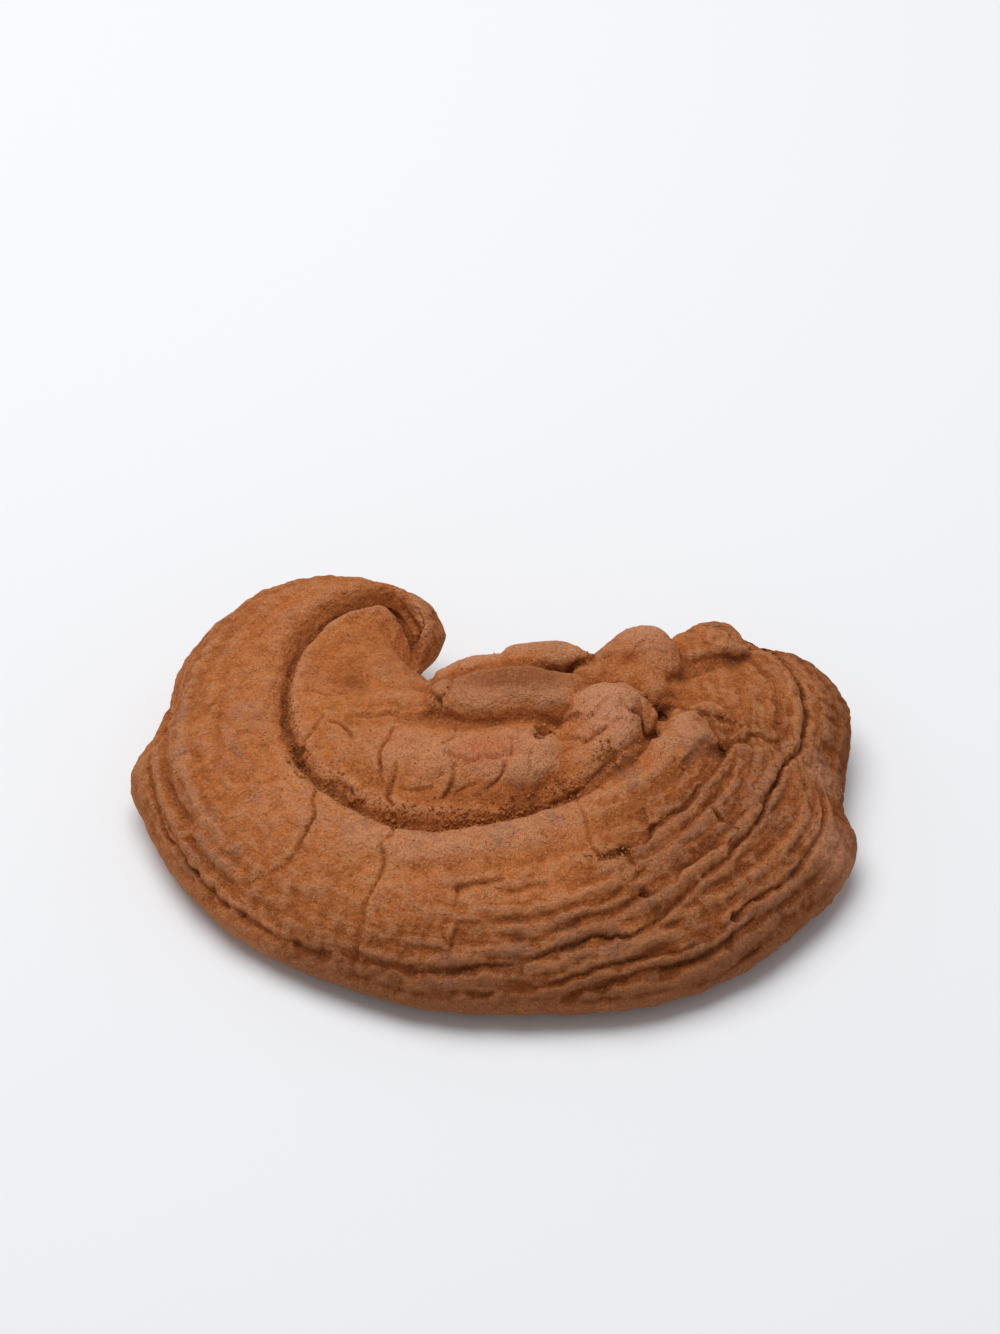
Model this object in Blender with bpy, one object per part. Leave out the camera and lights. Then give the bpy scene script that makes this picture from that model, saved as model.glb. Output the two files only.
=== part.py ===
"""A dried bracket fungus: one plump, kidney-shaped fruiting body that lies on its pore surface.

Metres, +Z up. The origin lies on the surface that the body rests on, under the middle of its box.
+X runs along the longer way across, and +Y points to the back, where it grew out of the wood and
was cut off flat. The shape values below are millimetres on the body.
"""
import math

import bmesh
import bpy
import numpy as np

MM = 0.001

# ---------------------------------------------------------------- driving dimensions, millimetres
ROWS = 190                # cross-sections from the tip of the left lobe to the end of the right one
TOP_STEPS = 110           # points over the top of one cross-section
LOOP_STEPS = 160          # points round the whole cross-section
FACES = 9300              # triangles left after thinning
GROOVE_SPREAD = 1.5       # widens the narrow inner groove to what these faces can carry
CUT_Y = 37.0              # the plane across the back where the body was cut from its wood
CUT_FROM_X, CUT_TO_X = -16.3, 23.5   # the stub lies between these, and nothing else does
SHORTEST_EDGE = 0.3       # shorter ones round the cut are merged away
FRAME_SHIFT = (0.31, -8.35)  # moves the middle of the body's box onto the origin

# The margin, station by station along the growing edge: from the tip of the curled left lobe,
# round the front, to the back of the right lobe. Each station gives the outer margin (x, y, height)
# and the point of the back margin (x, y, height) that faces it.
STATIONS = (
    (-12.5, 57, 19, -12.5, 57, 19),
    (-15.5, 63.5, 18, -14.5, 51.5, 18),
    (-27, 69.5, 17, -18, 47.5, 17),
    (-42, 76, 16, -20.5, 44, 17),
    (-58, 73.5, 15, -20.8, 41.4, 20),
    (-72.5, 62, 15, -20.6, 39.4, 23),
    (-81.5, 47.5, 13, -19.8, 38.2, 24),
    (-85.6, 30, 12, -18.5, 37.3, 24),
    (-92.3, 14, 10, -17.2, 36.7, 23),
    (-88, 0, 8, -16, 36.3, 21),
    (-79, -17.5, 8, -14.8, 36.4, 18),
    (-63, -35, 7, -13, 37.6, 17),
    (-42, -48, 7, -9.5, 41.5, 17),
    (-18, -57, 7, 0, 43.5, 17),
    (8, -59.5, 7, 8, 43.5, 17),
    (34, -57.5, 7, 12, 43, 17),
    (56, -49, 7, 16, 41.5, 17),
    (73, -36, 8, 20.4, 38.9, 17),
    (86, -21, 8, 22.1, 37.6, 18),
    (91, -9, 9, 23.4, 36.9, 19),
    (88.5, 5, 9, 24.6, 36.9, 19),
    (90.5, 20, 10, 26, 39, 17),
    (91.5, 33, 12, 28, 43, 17),
    (87.5, 44, 14, 32, 46.5, 17),
    (80, 50.5, 15, 37, 48.5, 17),
    (71, 53, 16, 43, 50, 17),
    (63, 54.5, 17, 50, 52.5, 17),
    (57, 55, 17, 57, 55, 17),
)

# The deep inner groove, which parts the broad outer roll from the lumpy older growth.
# x, y, floor height, height of the roll outside it, how full the roll is (1 a cone, 2 a dome), and
# the groove's half-widths towards the roll and towards the older growth.
INNER_GROOVE = (
    (-15.5, 41.6, 20, 23, 2.2, 1.4, 1.4),
    (-20.4, 42.2, 20.5, 23.5, 2.2, 1.4, 1.6),
    (-20.4, 46, 19.5, 26, 2.2, 1.8, 2.4),
    (-20.8, 51, 20, 27.5, 2.2, 2.0, 2.2),
    (-22.8, 57, 21.5, 28.8, 2.2, 2.2, 1.8),
    (-28.5, 61.9, 23.5, 29.8, 2.2, 2.4, 1.2),
    (-39.5, 58.2, 24.6, 30, 2.2, 2.6, 1.0),
    (-48.3, 48, 25, 29.5, 2.1, 2.8, 1.0),
    (-52.6, 34, 25.6, 29, 2.0, 2.8, 1.0),
    (-52.6, 20, 26, 28.6, 1.9, 2.6, 1.2),
    (-48.6, 6, 26, 28.5, 1.7, 2.2, 1.6),
    (-42, -3.3, 25.8, 28.5, 1.6, 2.0, 1.8),
    (-30, -12.3, 25.5, 28.5, 1.45, 2.0, 2.0),
    (-18, -16.4, 25.5, 28.5, 1.45, 2.0, 2.2),
    (-5, -15.8, 25.5, 29, 1.45, 2.0, 2.2),
    (8, -12.5, 26, 29.5, 1.45, 2.0, 2.2),
    (20.5, -7, 26.5, 30.3, 1.5, 1.8, 2.0),
    (30.5, 0.6, 27, 31, 1.5, 1.6, 1.6),
    (37.8, 8, 27.5, 31.5, 1.5, 1.6, 1.4),
    (41.3, 15, 28, 31.3, 1.6, 1.8, 1.4),
    (42.4, 21, 28.5, 30.6, 1.65, 2.2, 1.8),
    (43, 28, 29, 30, 1.7, 3.0, 2.4),
    (44.5, 36.5, 29, 29.5, 1.8, 3.4, 3.0),
    (46.5, 51, 25, 27, 2.0, 3.4, 3.0),
)

# Rounded lumps and rolls that rise out of the older growth: x, y, radius, top height and fullness
# (1 a cone, 3 a flat top) along each.
LUMPS = (
    ((-45, 14, 12, 28.3, 2.2), (-35, 11, 16, 31, 2.2), (-26, 8, 18, 33, 2.2), (-16, 3, 17, 34.8, 2.0),
     (-5, 2.5, 15.5, 36.2, 1.9), (4, 3, 14, 36.8, 2.1), (9.5, 4, 11, 36.6, 2.6)),  # terrace in front
    ((-41, 23.5, 6, 27.5, 2.2), (-29, 23.5, 8, 30.6, 2.0), (-17.5, 22.5, 6.5, 32.3, 2.0)),  # ledge behind
    ((27.5, 15, 9.5, 40, 2.8), (25.5, 7.5, 11.5, 38, 2.4), (15, -1, 12, 32, 2.0)),  # right-hand knob
    ((27, 9, 10, 36.5, 2.2), (32, 8.5, 7.5, 33.5, 2.0)),                      # its swollen lower side
    ((32, 20.5, 4, 38, 2.2), (36.5, 18, 4.5, 36.5, 2.0), (41, 13.5, 3, 32.5, 2.0)),  # fold twisted beside it
    ((-11, 22, 6.5, 36.5, 2.2), (-3, 21.5, 9, 39, 2.2), (8, 22, 9.5, 40, 2.2),
     (18, 21.5, 8, 38.5, 2.2)),                                               # back ridge
    ((6.5, 34, 5, 37, 3.2), (13, 35, 5.5, 37.6, 3.2), (20.6, 35.3, 5, 38.4, 3.4)),  # pale lump behind
    ((-12, 29.5, 4, 34.2, 2.2), (-5, 31.5, 4.5, 35.8, 2.2), (3, 32, 4.5, 36, 2.2)),  # thin roll behind it
    ((-14.5, 27.5, 5, 32, 2.2),),                                             # nub at its left end
    ((27, 36.8, 6, 37.2, 2.4), (30.5, 36.8, 6.5, 36.8, 2.2), (38.2, 37.5, 9.6, 38.8, 2.0),
     (39, 28, 10, 35, 1.8)),  # knobs at the back
    ((24, 30.5, 6, 36, 2.2), (33, 29.5, 8, 35.5, 2.0)),                       # saddle in front of them
    ((51, 42, 9, 32, 2.2), (56, 44.5, 9.5, 33.2, 2.2)),
    ((45, 7, 8, 33, 2.4), (49.5, 11, 9, 35, 2.4), (53, 16, 8, 33.5, 2.4)),    # blunt end of the first roll
    ((56, 27, 16, 30, 2.4), (65, 33, 14, 28, 2.4)),                           # flat back of the right lobe
    ((-41, 33, 11, 27, 2.6), (-35, 40, 9.5, 27.2, 2.4), (-28, 36.5, 8.5, 28.4, 2.6)),  # sheet in the left lobe
)

# Furrows in the upper side: x, y, depth and half-width along each.
FURROWS = (
    # the main one, round from the back of the right lobe to the left side
    ((66, 51.5, 0.8, 1.6), (72, 48, 1.8, 1.8), (77.5, 36.5, 2.2, 1.8), (79, 24, 2.2, 1.8),
     (76, 10.5, 2, 1.8), (68, -6.5, 2.2, 1.8), (58.5, -22, 2.2, 1.8), (43, -38.5, 2, 1.8),
     (28.5, -46, 2, 1.8), (7.5, -51.5, 1.9, 1.7), (-16, -52.5, 1.6, 1.6), (-33, -48.5, 1.4, 1.4),
     (-51, -40, 1.4, 1.3), (-63, -31.5, 1.4, 1.3), (-75.5, -18.5, 2.2, 1.3), (-82.5, -5.5, 2, 1.3),
     (-87, 10, 1.2, 1.2), (-86.5, 19.5, 0.4, 1.2)),
    # between it and the right-hand margin
    ((82, 2, 0.8, 1.4), (81.5, -11, 1.6, 1.5), (75, -22.5, 1.8, 1.5), (62, -34, 1.6, 1.4),
     (49.5, -45, 1.4, 1.3), (27, -52, 1.6, 1.3), (11, -56, 1.2, 1.3), (-6, -56.5, 0.5, 1.3)),
    # the step that ends the rings on the right, and the furrows of those rings
    ((72.5, 14, 0.4, 1.4), (64.5, 12.5, 1.0, 1.4), (58, 8, 1.4, 1.4), (52, -5, 0.9, 1.4),
     (43, -15.5, 0.8, 1.4), (37, -22, 1.0, 1.4)),
    ((60.5, 6.5, 0.4, 1.4), (57.5, -3, 1.2, 1.4), (51, -13.5, 1.2, 1.4), (41, -23, 0.6, 1.4)),
    ((61, -6, 0.8, 1.3), (53, -23, 1.2, 1.3), (44, -32, 1.2, 1.3), (34.5, -37, 1.5, 1.3),
     (22, -42, 1, 1.3), (7, -47, 0.8, 1.3)),
    ((38, -28.5, 1, 1.3), (26, -38.5, 1.1, 1.3), (13, -41.5, 0.9, 1.3), (-3.5, -42, 0.5, 1.3)),
    # the soft trough outside the first roll
    ((-23, -31, 0.5, 2.6), (-9, -31.5, 1.1, 2.6), (4, -30, 1.1, 2.6), (15, -26, 0.8, 2.6)),
    ((53.5, 8.5, 0.6, 3), (48.5, 2.5, 1.4, 3), (33, -14, 1, 3), (22.5, -22.5, 0.8, 2.6)),
    # behind the blunt end of the first roll
    ((42, 20.5, 1.8, 1.6), (46.5, 21.5, 1.2, 1.6), (54, 17, 1, 1.8), (64, 17.5, 0.5, 1.6)),
    # cracks that run out from the inner groove
    ((-24.5, -17, 1.2, 1.2), (-27, -26, 1.4, 1.2), (-31.5, -38, 1.3, 1.2), (-34, -48, 1, 1.2)),
    ((-44.5, -9, 1, 1.2), (-46, -18.5, 1.1, 1.2), (-54, -26, 0.4, 1.2)),
    ((21, -12, 0.8, 1.2), (26, -27, 1.4, 1.3), (31.5, -24.5, 1.8, 1.4), (34, -20.5, 1, 1.2)),
    # cracks across the terrace
    ((-24, -0.5, 0.8, 1.2), (-26, -7, 1.5, 1.2), (-25, -14, 1.5, 1.2)),
    ((-24.5, 11.5, 0.7, 1.2), (-28.5, 3, 1.1, 1.2), (-28.5, -3.5, 0.6, 1.2)),
    ((-9.5, -2.5, 0.6, 1.2), (-12.5, -10, 1, 1.2)),
    ((4, 1, 0.6, 1.2), (2, -6, 1.1, 1.2), (-1.5, -8, 0.7, 1.2)),
    ((-48, 11, 0.9, 1.2), (-43, 19, 0.8, 1.2), (-36.5, 12, 0.8, 1.2)),
    # the ledge behind it, and the gap beside the nub
    ((-36, 19, 0.5, 1.2), (-26.5, 18.5, 0.8, 1.2), (-14.5, 17.5, 0.9, 1.2)),
    ((-12, 18.5, 1, 1.2), (-10.5, 27, 1.2, 1.2)),
    # under the fold twisted beside the knob
    ((33, 14, 1.2, 1.2), (37.5, 11, 1.6, 1.2)),
)

# Low ridges beside the furrows: x, y, height and half-width along each.
RIDGES = (
    ((50, 38, 0.5, 2), (61, 41, 1.2, 2), (71.5, 41, 1.8, 2), (76, 25, 2, 2), (74.5, 13.5, 1.8, 2),
     (66, -5.5, 1.9, 2), (53, -24.5, 1.8, 1.9), (34.5, -40, 1.5, 1.6), (16.5, -47, 1.5, 1.6),
     (-6.5, -50.5, 1.2, 1.5), (-30, -47.5, 0.6, 1.5)),
    ((84, 42, 0.8, 2), (86.5, 25, 0.8, 2.2), (80, 15.5, 0.6, 2), (71, -1, 1.4, 1.6),
     (59.5, -22.5, 1.5, 1.5), (44, -38.5, 1.3, 1.4), (21, -49.5, 1.4, 1.4), (1.5, -54, 1.2, 1.4),
     (-20, -53.5, 0.6, 1.4)),
    ((83, -9, 0.8, 1.8), (75.5, -23, 1.3, 1.6), (58, -39.5, 1.2, 1.5), (42, -49, 1, 1.4),
     (12.5, -56.5, 0.6, 1.4)),
    ((62, 7.5, 0.6, 1.5), (55.5, -10.5, 1.6, 1.5), (46, -21.5, 1.3, 1.5), (36.5, -29, 1, 1.4)),
    ((35.5, -33.5, 0.8, 1.5), (24, -36, 1.3, 1.5), (7.5, -40.5, 0.8, 1.5), (-4.5, -40, 0.3, 1.5)),
    ((-36.5, -17, 0.6, 4.5), (-20.5, -23.5, 0.9, 4.5), (-6, -23, 1.2, 4.5), (16.5, -16, 1.4, 4.5),
     (34, -5.5, 1.4, 4.5), (47.5, 7.5, 1, 5)),
    ((-85.5, 14, 1, 1.5), (-80.5, -4.5, 1.5, 1.5), (-74.5, -16.5, 1.5, 1.5), (-55, -36.5, 0.7, 1.4)),
    ((-71.5, 48.5, 0.4, 2), (-78.5, 25, 0.9, 2), (-77, 4, 0.9, 2), (-67, -15.5, 0.9, 1.8)),
)

# Places where the surface drops away: x, y, depth, radius.
HOLLOWS = (
    (12.6, 9.5, 5, 1.8),   # pit between the terrace and the knob
    (42, 18.5, 2.6, 2.2),  # pit where the first roll ends
    (23.4, 36.5, 2, 1.6),  # dark cleft between the pale lump and the first knob
    (-37, 33, 1.6, 5),     # dent in the sheet of the left lobe
    (56, 14, 2.2, 6),      # dents beside the first roll
    (-60, 4, 1.2, 9),
    (30, -14, 1.2, 8),
)

UNDERSIDE_ROLL = 15.0     # how far in from the margin the underside curves up
TIP_REACH = 56.0          # how far from the tip the underside leaves the ground
TIP_LIFT = 11.0           # how high the underside of the curled lobe's tip is carried
RUST_BROWN = (0.30, 0.115, 0.045, 1.0)


# ---------------------------------------------------------------- curves and distances
def smooth_curve(points, steps=12):
    """A Catmull-Rom curve through hand-set points, of any number of columns."""
    given = np.array(points, float)
    if len(given) == 1:
        return np.vstack([given, given])
    ends = np.vstack([2 * given[0] - given[1], given, 2 * given[-1] - given[-2]])
    t = np.linspace(0, 1, steps, endpoint=False)[:, None]
    pieces = []
    for a, b, c, d in zip(ends, ends[1:], ends[2:], ends[3:]):
        pieces.append(0.5 * (2 * b + (c - a) * t + (2 * a - 5 * b + 4 * c - d) * t ** 2
                             + (3 * b - a - 3 * c + d) * t ** 3))
    return np.concatenate(pieces + [given[-1:]])


def evenly_spaced(curve, count, columns):
    """The curve read again at equal lengths, measured over the given columns."""
    lengths = np.linalg.norm(np.diff(curve[:, columns], axis=0), axis=1)
    along = np.concatenate([[0], np.cumsum(lengths)])
    wanted = np.linspace(0, along[-1], count)
    return np.stack([np.interp(wanted, along, column) for column in curve.T], 1)


def nearest(plan, curve):
    """Distance from each plan point to the curve, its signed side, and the curve's other columns."""
    best = np.full(len(plan), 1e9)
    side = np.ones(len(plan))
    values = np.zeros((len(plan), curve.shape[1] - 2))
    for start, end in zip(curve[:-1], curve[1:]):
        run = end[:2] - start[:2]
        away = plan - start[:2]
        t = np.clip(away @ run / max(run @ run, 1e-9), 0, 1)
        gap = away - t[:, None] * run
        distance = np.hypot(gap[:, 0], gap[:, 1])
        closer = distance < best
        best[closer] = distance[closer]
        side[closer] = np.sign(run[0] * away[closer, 1] - run[1] * away[closer, 0])
        values[closer] = start[2:] + t[closer, None] * (end[2:] - start[2:])
    return best, side, values


def rounded(x, fullness):
    """0 to 1 with an upright start and a level end, like the side of a roll."""
    x = np.clip(x, 0, 1)
    return (1 - (1 - x) ** fullness) ** (1 / fullness)


def fade(x):
    x = np.clip(x, 0, 1)
    return x * x * (3 - 2 * x)


def hill(plan, x, y, radius_x, radius_y):
    return np.exp(-((plan[:, 0] - x) / radius_x) ** 2 - ((plan[:, 1] - y) / radius_y) ** 2)


def joined(a, b, blend=1.6):
    """The higher of two surfaces, softened a little where they meet."""
    overlap = np.clip(1 - np.abs(a - b) / blend, 0, 1)
    return np.maximum(a, b) + overlap ** 2 * blend / 4


OUTER_MARGIN = smooth_curve([station[:2] for station in STATIONS])
BACK_MARGIN = smooth_curve([station[3:5] for station in STATIONS])
GROOVE = smooth_curve(INNER_GROOVE)


# ---------------------------------------------------------------- the form
def top_height(plan, margin_z):
    """Height of the upper surface over each plan point."""
    from_outer = nearest(plan, OUTER_MARGIN)[0]
    from_back = nearest(plan, BACK_MARGIN)[0]
    from_groove, side, values = nearest(plan, GROOVE)
    floor, roll_top, fullness, roll_side, inner_side = values.T

    share = from_outer / (from_outer + from_groove + 1e-6)
    outer_band = margin_z + (roll_top - margin_z) * rounded(share / 0.82, fullness)
    outer_band -= (roll_top - floor) * np.exp(-(from_groove / (GROOVE_SPREAD * roll_side)) ** 1.7)
    outer_band = margin_z + (outer_band - margin_z) * rounded(from_back / 8, 2.2)

    plateau = 29 - 2.2 * hill(plan, -37, 42, 14, 18) - 6.5 * hill(plan, -20.5, 51, 8, 7)
    plateau += 3 * hill(plan, 0, 14, 24, 14)
    inner = floor + (plateau - floor) * (1 - np.exp(-(from_groove / (GROOVE_SPREAD * inner_side)) ** 2))
    inner = margin_z + (inner - margin_z) * rounded(from_back / 8, 2.2)
    height = np.where(side > 0, inner, outer_band)

    for lump in LUMPS:
        distance, _, values = nearest(plan, smooth_curve(lump, 6))
        radius, top, fullness = values.T
        foot = np.maximum(top - radius * 1.1, margin_z)
        swell = foot + (top - foot) * rounded(1 - distance / radius, fullness)
        near_rim = rounded(np.minimum(from_back, from_outer) / 5.5, 2.8)
        swell = np.where(distance < radius, margin_z + (swell - margin_z) * near_rim, -9.0)
        height = joined(height, swell)
    for x, y, depth, radius in HOLLOWS:
        height -= depth * hill(plan, x, y, radius, radius) * fade(np.minimum(from_outer, from_back) / 4)
    return height


def under_height(plan, margin_z):
    """Height of the pore surface: flat where it rests, curving up to the margin all round."""
    from_edge = np.minimum(nearest(plan, OUTER_MARGIN)[0], nearest(plan, BACK_MARGIN)[0] * 1.6)
    from_tip = np.hypot(plan[:, 0] - STATIONS[0][0], plan[:, 1] - STATIONS[0][1])
    in_lobe = np.maximum(fade((plan[:, 1] - 44) / 4), fade((-16.5 - plan[:, 0]) / 3))
    rest = TIP_LIFT * fade(1 - from_tip / TIP_REACH) * in_lobe
    depth = rounded(from_edge / UNDERSIDE_ROLL, 2.0)
    return np.maximum(margin_z + (rest - margin_z) * depth, 0.0)


def relief(plan):
    """How far the ridges stand out of the upper surface and the furrows sink into it."""
    out = np.zeros(len(plan))
    for ridge in RIDGES:
        distance, _, values = nearest(plan, smooth_curve(ridge, 6))
        out += values[:, 0] * np.exp(-(distance / values[:, 1]) ** 2)
    for furrow in FURROWS:
        distance, _, values = nearest(plan, smooth_curve(furrow, 6))
        out -= values[:, 0] * np.exp(-(distance / values[:, 1]) ** 2)
    return out


def cross_sections():
    """Points of every cross-section: over the top from the outer margin, and back underneath."""
    stations = evenly_spaced(smooth_curve(STATIONS), ROWS, [0, 1])
    dense = 160
    turn = np.linspace(0, math.pi, dense)
    across = 0.75 * (1 - np.cos(turn)) / 2 + 0.25 * turn / math.pi
    outer, back = stations[:, None, :3], stations[:, None, 3:]
    straight = outer + (back - outer) * across[None, :, None]
    plan = straight[..., :2].reshape(-1, 2)
    margin_z = straight[..., 2].reshape(-1)
    top = np.column_stack([plan, top_height(plan, margin_z)]).reshape(ROWS, dense, 3)
    under = np.column_stack([plan, under_height(plan, margin_z)]).reshape(ROWS, dense, 3)
    sections = []
    for over, below in zip(top, under):
        over = evenly_spaced(over, TOP_STEPS, [0, 1, 2])
        below = evenly_spaced(below[::-1], LOOP_STEPS - TOP_STEPS + 2, [0, 1, 2])
        sections.append(np.vstack([over, below[1:-1]]))
    return np.array(sections)


def carved(sections):
    """The sections with the ridges and furrows worked into their upper side."""
    along = np.gradient(sections, axis=0)
    around = (np.roll(sections, -1, 1) - np.roll(sections, 1, 1)) / 2
    normal = np.cross(along, around)
    normal /= np.linalg.norm(normal, axis=2, keepdims=True) + 1e-9
    amount = relief(sections[..., :2].reshape(-1, 2)).reshape(sections.shape[:2])
    amount[:, TOP_STEPS:] = 0
    amount[:, [0, TOP_STEPS - 1]] = 0
    amount *= fade(np.minimum(np.arange(ROWS), np.arange(ROWS)[::-1]) / 4)[:, None]
    return sections + normal * amount[..., None]


# ---------------------------------------------------------------- the solid
def closed_skin(sections):
    """A sphere's mesh drawn out over the cross-sections, with its poles at the two ends."""
    bm = bmesh.new()
    bmesh.ops.create_uvsphere(bm, u_segments=LOOP_STEPS, v_segments=ROWS - 1, radius=1)
    for vert in bm.verts:
        x, y, z = vert.co
        row = round(math.acos(max(-1.0, min(1.0, z))) / math.pi * (ROWS - 1))
        step = round(math.atan2(y, x) / math.tau * LOOP_STEPS) % LOOP_STEPS
        section = sections[row]
        vert.co = section.mean(0) if row in (0, ROWS - 1) else section[step]
    bmesh.ops.recalc_face_normals(bm, faces=bm.faces)
    return bm


def thinned(bm, faces):
    """The same skin with its triangles spent where it curves."""
    bmesh.ops.triangulate(bm, faces=bm.faces)
    mesh = bpy.data.meshes.new("fine_skin")
    bm.to_mesh(mesh)
    count = len(mesh.polygons)
    fine = bpy.data.objects.new("fine_skin", mesh)
    bpy.context.scene.collection.objects.link(fine)
    thin = fine.modifiers.new("thin", "DECIMATE")
    thin.ratio = faces / count
    shape = fine.evaluated_get(bpy.context.evaluated_depsgraph_get())
    result = bmesh.new()
    result.from_mesh(shape.to_mesh())
    shape.to_mesh_clear()
    bpy.data.objects.remove(fine)
    return result


def cut_from_wood(bm):
    """Cuts the stub flat on one upright plane and closes the cut with one face."""
    stub = [face for face in bm.faces
            if CUT_FROM_X < face.calc_center_median().x < CUT_TO_X
            and CUT_Y - 8 < face.calc_center_median().y < CUT_Y + 9]
    geometry = stub + list({edge for face in stub for edge in face.edges})
    geometry += list({vert for face in stub for vert in face.verts})
    bmesh.ops.bisect_plane(bm, geom=geometry, dist=0.02, plane_co=(0, CUT_Y, 0),
                           plane_no=(0, 1, 0), clear_outer=True)
    rim = {vert for edge in bm.edges if edge.is_boundary for vert in edge.verts}
    bmesh.ops.remove_doubles(bm, verts=list(rim), dist=SHORTEST_EDGE)
    bmesh.ops.holes_fill(bm, edges=[edge for edge in bm.edges if edge.is_boundary])


def build_fruiting_body():
    bm = thinned(closed_skin(carved(cross_sections())), FACES)
    for vert in bm.verts:
        if vert.co.z < 0.05:
            vert.co.z = 0.0
    cut_from_wood(bm)
    bmesh.ops.triangulate(bm, faces=[face for face in bm.faces if len(face.verts) > 3])
    for vert in bm.verts:
        vert.co.x = (vert.co.x + FRAME_SHIFT[0]) * MM
        vert.co.y = (vert.co.y + FRAME_SHIFT[1]) * MM
        vert.co.z *= MM
    mesh = bpy.data.meshes.new("fruiting_body")
    bm.to_mesh(mesh)
    bm.free()
    mesh.shade_smooth()
    mesh.set_sharp_from_angle(angle=math.radians(45))
    body = bpy.data.objects.new("fruiting_body", mesh)
    bpy.context.scene.collection.objects.link(body)
    return body


def corky_flesh():
    material = bpy.data.materials.new("spore_dusted_cork")
    material.use_nodes = True
    shader = material.node_tree.nodes["Principled BSDF"]
    shader.inputs["Base Color"].default_value = RUST_BROWN
    shader.inputs["Roughness"].default_value = 0.9
    shader.inputs["Metallic"].default_value = 0.0
    return material


for old in list(bpy.data.objects):
    bpy.data.objects.remove(old)
fruiting_body = build_fruiting_body()
fruiting_body.data.materials.append(corky_flesh())
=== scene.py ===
"""The looks of a dried bracket fungus: a plump, kidney-shaped body under a coat of its own spores."""

import math

import bmesh
import bpy
import numpy as np
from mathutils import Euler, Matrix, Vector, kdtree, noise
from mathutils.bvhtree import BVHTree


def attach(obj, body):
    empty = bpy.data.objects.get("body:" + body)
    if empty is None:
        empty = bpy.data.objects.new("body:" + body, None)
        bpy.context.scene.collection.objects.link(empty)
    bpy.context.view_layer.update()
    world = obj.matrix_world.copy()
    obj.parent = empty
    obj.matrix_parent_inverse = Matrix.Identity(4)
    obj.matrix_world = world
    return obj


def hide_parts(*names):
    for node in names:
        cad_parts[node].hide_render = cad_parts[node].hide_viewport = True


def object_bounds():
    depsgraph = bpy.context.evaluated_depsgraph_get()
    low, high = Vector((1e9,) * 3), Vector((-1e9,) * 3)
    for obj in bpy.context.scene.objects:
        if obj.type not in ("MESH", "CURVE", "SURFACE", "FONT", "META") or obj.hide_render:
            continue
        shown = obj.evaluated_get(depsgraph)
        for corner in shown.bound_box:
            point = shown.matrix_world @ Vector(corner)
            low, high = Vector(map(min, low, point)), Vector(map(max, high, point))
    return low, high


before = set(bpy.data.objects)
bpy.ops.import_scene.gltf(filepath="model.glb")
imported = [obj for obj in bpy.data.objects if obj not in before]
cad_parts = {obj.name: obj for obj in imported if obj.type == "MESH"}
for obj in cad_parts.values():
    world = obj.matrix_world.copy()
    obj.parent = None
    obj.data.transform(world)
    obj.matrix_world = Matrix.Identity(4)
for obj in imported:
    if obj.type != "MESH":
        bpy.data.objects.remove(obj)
cad_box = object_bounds()


# ---- Fruiting body: the form ---------------------------------------------------------------
# One plump body of corky flesh that grew as one piece: a broad outer roll with a curled left lobe,
# lumpy older growth inside a deep groove, and growth rings along its margin. It lies on its pore
# surface and was cut off its wood at the back. Values are millimetres on the body, as in the solid.
ROWS = 760          # cross-sections, from the left lobe's tip to the right end
TOP_STEPS = 220     # points over the top of one cross-section
LOOP_STEPS = 268    # points round the whole cross-section
ACROSS = 320                               # points across a section before they are evened out

# Outer margin (x, y, height) and the point of the back margin (x, y, height) that faces it.
STATIONS = (
    (-12.5, 57, 19, -12.5, 57, 19),
    (-15.5, 63.5, 18, -14.5, 51.5, 18),
    (-27, 69.5, 17, -18, 47.5, 17),
    (-42, 76, 16, -20.5, 44, 17),
    (-58, 73.5, 15, -20.8, 41.4, 20),
    (-72.5, 62, 15, -20.6, 39.4, 23),
    (-81.5, 47.5, 13, -19.8, 38.2, 24),
    (-85.6, 30, 12, -18.5, 37.3, 24),
    (-92.3, 14, 10, -17.2, 36.7, 23),
    (-88, 0, 8, -16, 36.3, 21),
    (-79, -17.5, 8, -14.8, 36.4, 18),
    (-63, -35, 7, -13, 37.6, 17),
    (-42, -48, 7, -9.5, 41.5, 17),
    (-18, -57, 7, 0, 43.5, 17),
    (8, -59.5, 7, 8, 43.5, 17),
    (34, -57.5, 7, 12, 43, 17),
    (56, -49, 7, 16, 41.5, 17),
    (73, -36, 8, 20.4, 38.9, 17),
    (86, -21, 8, 22.1, 37.6, 18),
    (91, -9, 9, 23.4, 36.9, 19),
    (88.5, 5, 9, 24.6, 36.9, 19),
    (90.5, 20, 10, 26, 39, 17),
    (91.5, 33, 12, 28, 43, 17),
    (87.5, 44, 14, 32, 46.5, 17),
    (80, 50.5, 15, 37, 48.5, 17),
    (71, 53, 16, 43, 50, 17),
    (63, 54.5, 17, 50, 52.5, 17),
    (57, 55, 17, 57, 55, 17),
)

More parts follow.
